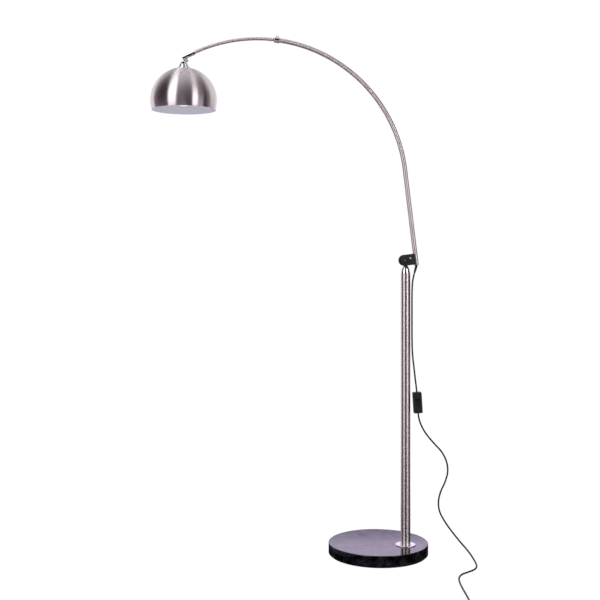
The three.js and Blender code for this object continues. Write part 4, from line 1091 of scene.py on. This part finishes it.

# %% [markdown]
# A cord is soft: its shape here is one of many.

# %% [markdown]
# ## The small parts in sight
# The tongue, the saddle and the screws of the hinge are right in shape. They are in plain sight,
# so they get soft edges from a merged copy.

# %% Small parts with soft edges
softened("hinge_tongue", "stand", powder_coat, 0.5)
softened("bracket_saddle", "arm", powder_coat, 0.4)
softened("saddle_screw", "arm", chrome, 0.2, 50)
softened("pivot_bolt", "arm", zinc, 0.3, 40)
softened("knuckle_screw", "head", chrome, 0.2, 40)
softened("cord_gland", "arm", moulded_black, 0.2, 40)
print("softened copies made")

# %% [markdown]
# ## The hidden parts
# Nuts, washers and inserts are seen only when the lamp is taken apart. They stay as they came,
# and each gets the finish of its trade.

# %% Finishes for the rest
left_as_they_are = {
    zinc: ["base_washer", "base_bolt", "post_foot_insert", "post_coupler", "post_top_insert",
           "neck_grub_screw", "saddle_nut", "knob_washer", "sleeve_grub_screw", "knuckle_nut",
           "threaded_nipple", "switch_screw_upper", "switch_screw_lower"],
    felt: ["base_pad", "friction_washer_front", "friction_washer_rear"],
    moulded_black: ["guide_bush"],
    cord_pvc: ["cable_in_outer_arm", "cable_in_inner_arm"],
    brass: ["lampholder_contact", "plug_pin_left", "plug_pin_right"],
}
for finish, names in left_as_they_are.items():
    for name in names:
        nodes[name].data.materials.clear()
        nodes[name].data.materials.append(finish)
print("carried over:", sum(len(names) for names in left_as_they_are.values()), "nodes")

# %% [markdown]
# ## The floor and the sky
# The lamp stands on a light table, a pale floor that glows from below, so there is no shadow
# under it; a white sky lights everything softly.

# %% The floor and the sky
world = bpy.data.worlds.new("white studio")
bpy.context.scene.world = world
world.use_nodes = True
world.node_tree.nodes["Background"].inputs["Color"].default_value = (1, 1, 1, 1)
world.node_tree.nodes["Background"].inputs["Strength"].default_value = 1.02
bpy.context.scene.view_settings.view_transform = "Standard"

floor_paint, tree, shader = new_finish("light table, frosted", "3c3c3c", 0.9, IOR=1.45)
shader.inputs["Specular IOR Level"].default_value = 0.0
shader.inputs["Emission Color"].default_value = (1, 1, 1, 1)
shader.inputs["Emission Strength"].default_value = 0.98
hand_marks(tree, shader, 40, (0.88, 0.95), 0)
bm = bmesh.new()
bmesh.ops.create_grid(bm, x_segments=2, y_segments=2, size=30)
floor = scratch_object(bm, "floor")
bm.free()
floor.data.materials.append(floor_paint)
print("floor:", [round(size) for size in floor.dimensions.xy], "m")

# %% [markdown]
# ## Boards to mirror
# Bright metal shows only what stands around it, so a studio hangs boards for it to mirror. Each
# is one flat face that glows in its own colour, and only reflections see it: it lights nothing
# and hides nothing.


# %% Making a board
def board(name, colour, strength, *outline):
    """A flat board that only reflections see, with its corners in metres."""
    glow = bpy.data.materials.new(name)
    glow.use_nodes = True
    glow.node_tree.nodes.clear()
    light = add_node(glow.node_tree, "ShaderNodeEmission",
                     {"Color": linear(colour), "Strength": strength})
    out = add_node(glow.node_tree, "ShaderNodeOutputMaterial")
    glow.node_tree.links.new(light.outputs["Emission"], out.inputs["Surface"])
    bm = bmesh.new()
    corners = [bm.verts.new(corner) for corner in outline]
    bmesh.ops.contextual_create(bm, geom=corners)
    made = scratch_object(bm, name)
    bm.free()
    made.data.materials.append(glow)
    made.visible_camera = made.visible_diffuse = made.visible_shadow = False
    made.visible_transmission = made.visible_volume_scatter = False


def wall(name, colour, strength, start, end, low, high):
    """An upright board between two places on the floor plan."""
    board(name, colour, strength, (*start, low), (*end, low), (*end, high), (*start, high))


# %% [markdown]
# ## The boards
# Two tall white boards stand on either side of the camera, dark ones between and beyond them, and
# brown and lilac ones further round. They meet at shared corners, so the bands on the metal
# follow each other without a gap. The low ones are dimmer, as a room is near its floor, which
# darkens the lower half of the post.

# %% The boards
# Corners of the floor plan in metres, from the back on the left round to the back on the right.
LEFT_BACK, LEFT_MIDDLE = (-2.4, 0.8), (-2.5, 0.0)
LEFT_NEAR, LEFT_FAR = (-2.28, -1.5), (-2.77, -5.67)
RIGHT_NEAR, RIGHT_FAR = (1.37, -2.69), (2.73, -2.38)
RIGHT_LOW, RIGHT_BACK = (2.68, -0.8), (2.44, 0.97)
REAR_LEFT, REAR_RIGHT = (-0.5, 3.5), (1.1, 3.5)
wall("low_left", "8f848b", 1.0, LEFT_BACK, LEFT_NEAR, 0.01, 0.95)
wall("brown_left", "5a464b", 1.0, LEFT_BACK, LEFT_MIDDLE, 0.95, 5)
wall("dark_left", "1c1518", 1.0, LEFT_MIDDLE, LEFT_NEAR, 0.95, 5)
wall("white_left_low", "fffcff", 1.4, LEFT_NEAR, LEFT_FAR, 0.01, 1.1)
wall("white_left", "fffcff", 3.0, LEFT_NEAR, LEFT_FAR, 1.1, 8)
wall("dark_middle_low", "130f12", 1.0, LEFT_FAR, RIGHT_NEAR, 0.01, 0.95)
wall("light_middle", "d6d0d4", 1.0, LEFT_FAR, RIGHT_NEAR, 0.95, 1.15)
wall("dark_middle", "0c090b", 1.0, LEFT_FAR, RIGHT_NEAR, 1.15, 4.2)
wall("grey_middle", "aaa4a8", 1.0, LEFT_FAR, RIGHT_NEAR, 4.2, 9)
wall("white_right_low", "fffcff", 1.4, RIGHT_NEAR, RIGHT_FAR, 0.01, 0.5)
wall("white_right", "fffcff", 4.0, RIGHT_NEAR, RIGHT_FAR, 0.5, 2.6)
wall("brown_high", "4a3c3c", 1.0, RIGHT_NEAR, RIGHT_FAR, 2.6, 6)
wall("white_low", "fffcff", 2.0, RIGHT_FAR, RIGHT_LOW, 0.01, 0.95)
wall("brown_right", "4a3c3c", 1.0, RIGHT_FAR, RIGHT_BACK, 0.95, 6)
wall("dark_right", "3a3036", 1.0, RIGHT_LOW, RIGHT_BACK, 0.01, 0.95)
wall("lilac_rear", "e8d8ff", 0.8, REAR_LEFT, REAR_RIGHT, 0.2, 0.98)
wall("lilac_high", "eedfff", 1.8, REAR_LEFT, REAR_RIGHT, 0.98, 1.8)
wall("dark_rear", "2c2428", 1.0, RIGHT_BACK, (0.9, 1.9), 0.01, 0.95)
print("boards hung")

# %% [markdown]
# ## Cards on the floor
# The lower parts of the lamp mirror the floor. A wide dark card gives the black stone its black
# sides, and grey ones on top of it carry the light bands of the post and the arm on downwards.
# Each lies a tenth of a millimetre above the one below.


# %% The cards
def card(name, colour, height, *outline):
    """A card on the floor, at a height in millimetres."""
    board(name, colour, 1.0, *((x, y, height * MM) for x, y in outline))


NEAR_POST_LEFT, NEAR_POST_RIGHT = (-0.13, -0.37), (0.35, -0.3)
card("dark_floor", "070607", 0.1, (-4, -5.2), (2.7, -5.2), (2.7, 0.7), (-4, 0.7))
card("grey_floor_left", "7d737a", 0.2, LEFT_NEAR, LEFT_FAR, NEAR_POST_LEFT)
card("grey_floor_right", "7d737a", 0.2,
     RIGHT_NEAR, RIGHT_FAR, RIGHT_LOW, NEAR_POST_RIGHT, (0.13, -0.4))
card("light_floor", "b4acb0", 0.3, (-1.5, -4.5), (-0.05, -4.5), (-0.05, -0.9), (-0.7, -0.9))
card("grey_floor_edge", "4a3f46", 0.2, RIGHT_LOW, (2.6, 0.9), (0.4, 0.1), NEAR_POST_RIGHT)
card("grey_floor_side", "6a6067", 0.2, LEFT_NEAR, LEFT_BACK, (-0.25, 0.2), NEAR_POST_LEFT)
print("studio ready")
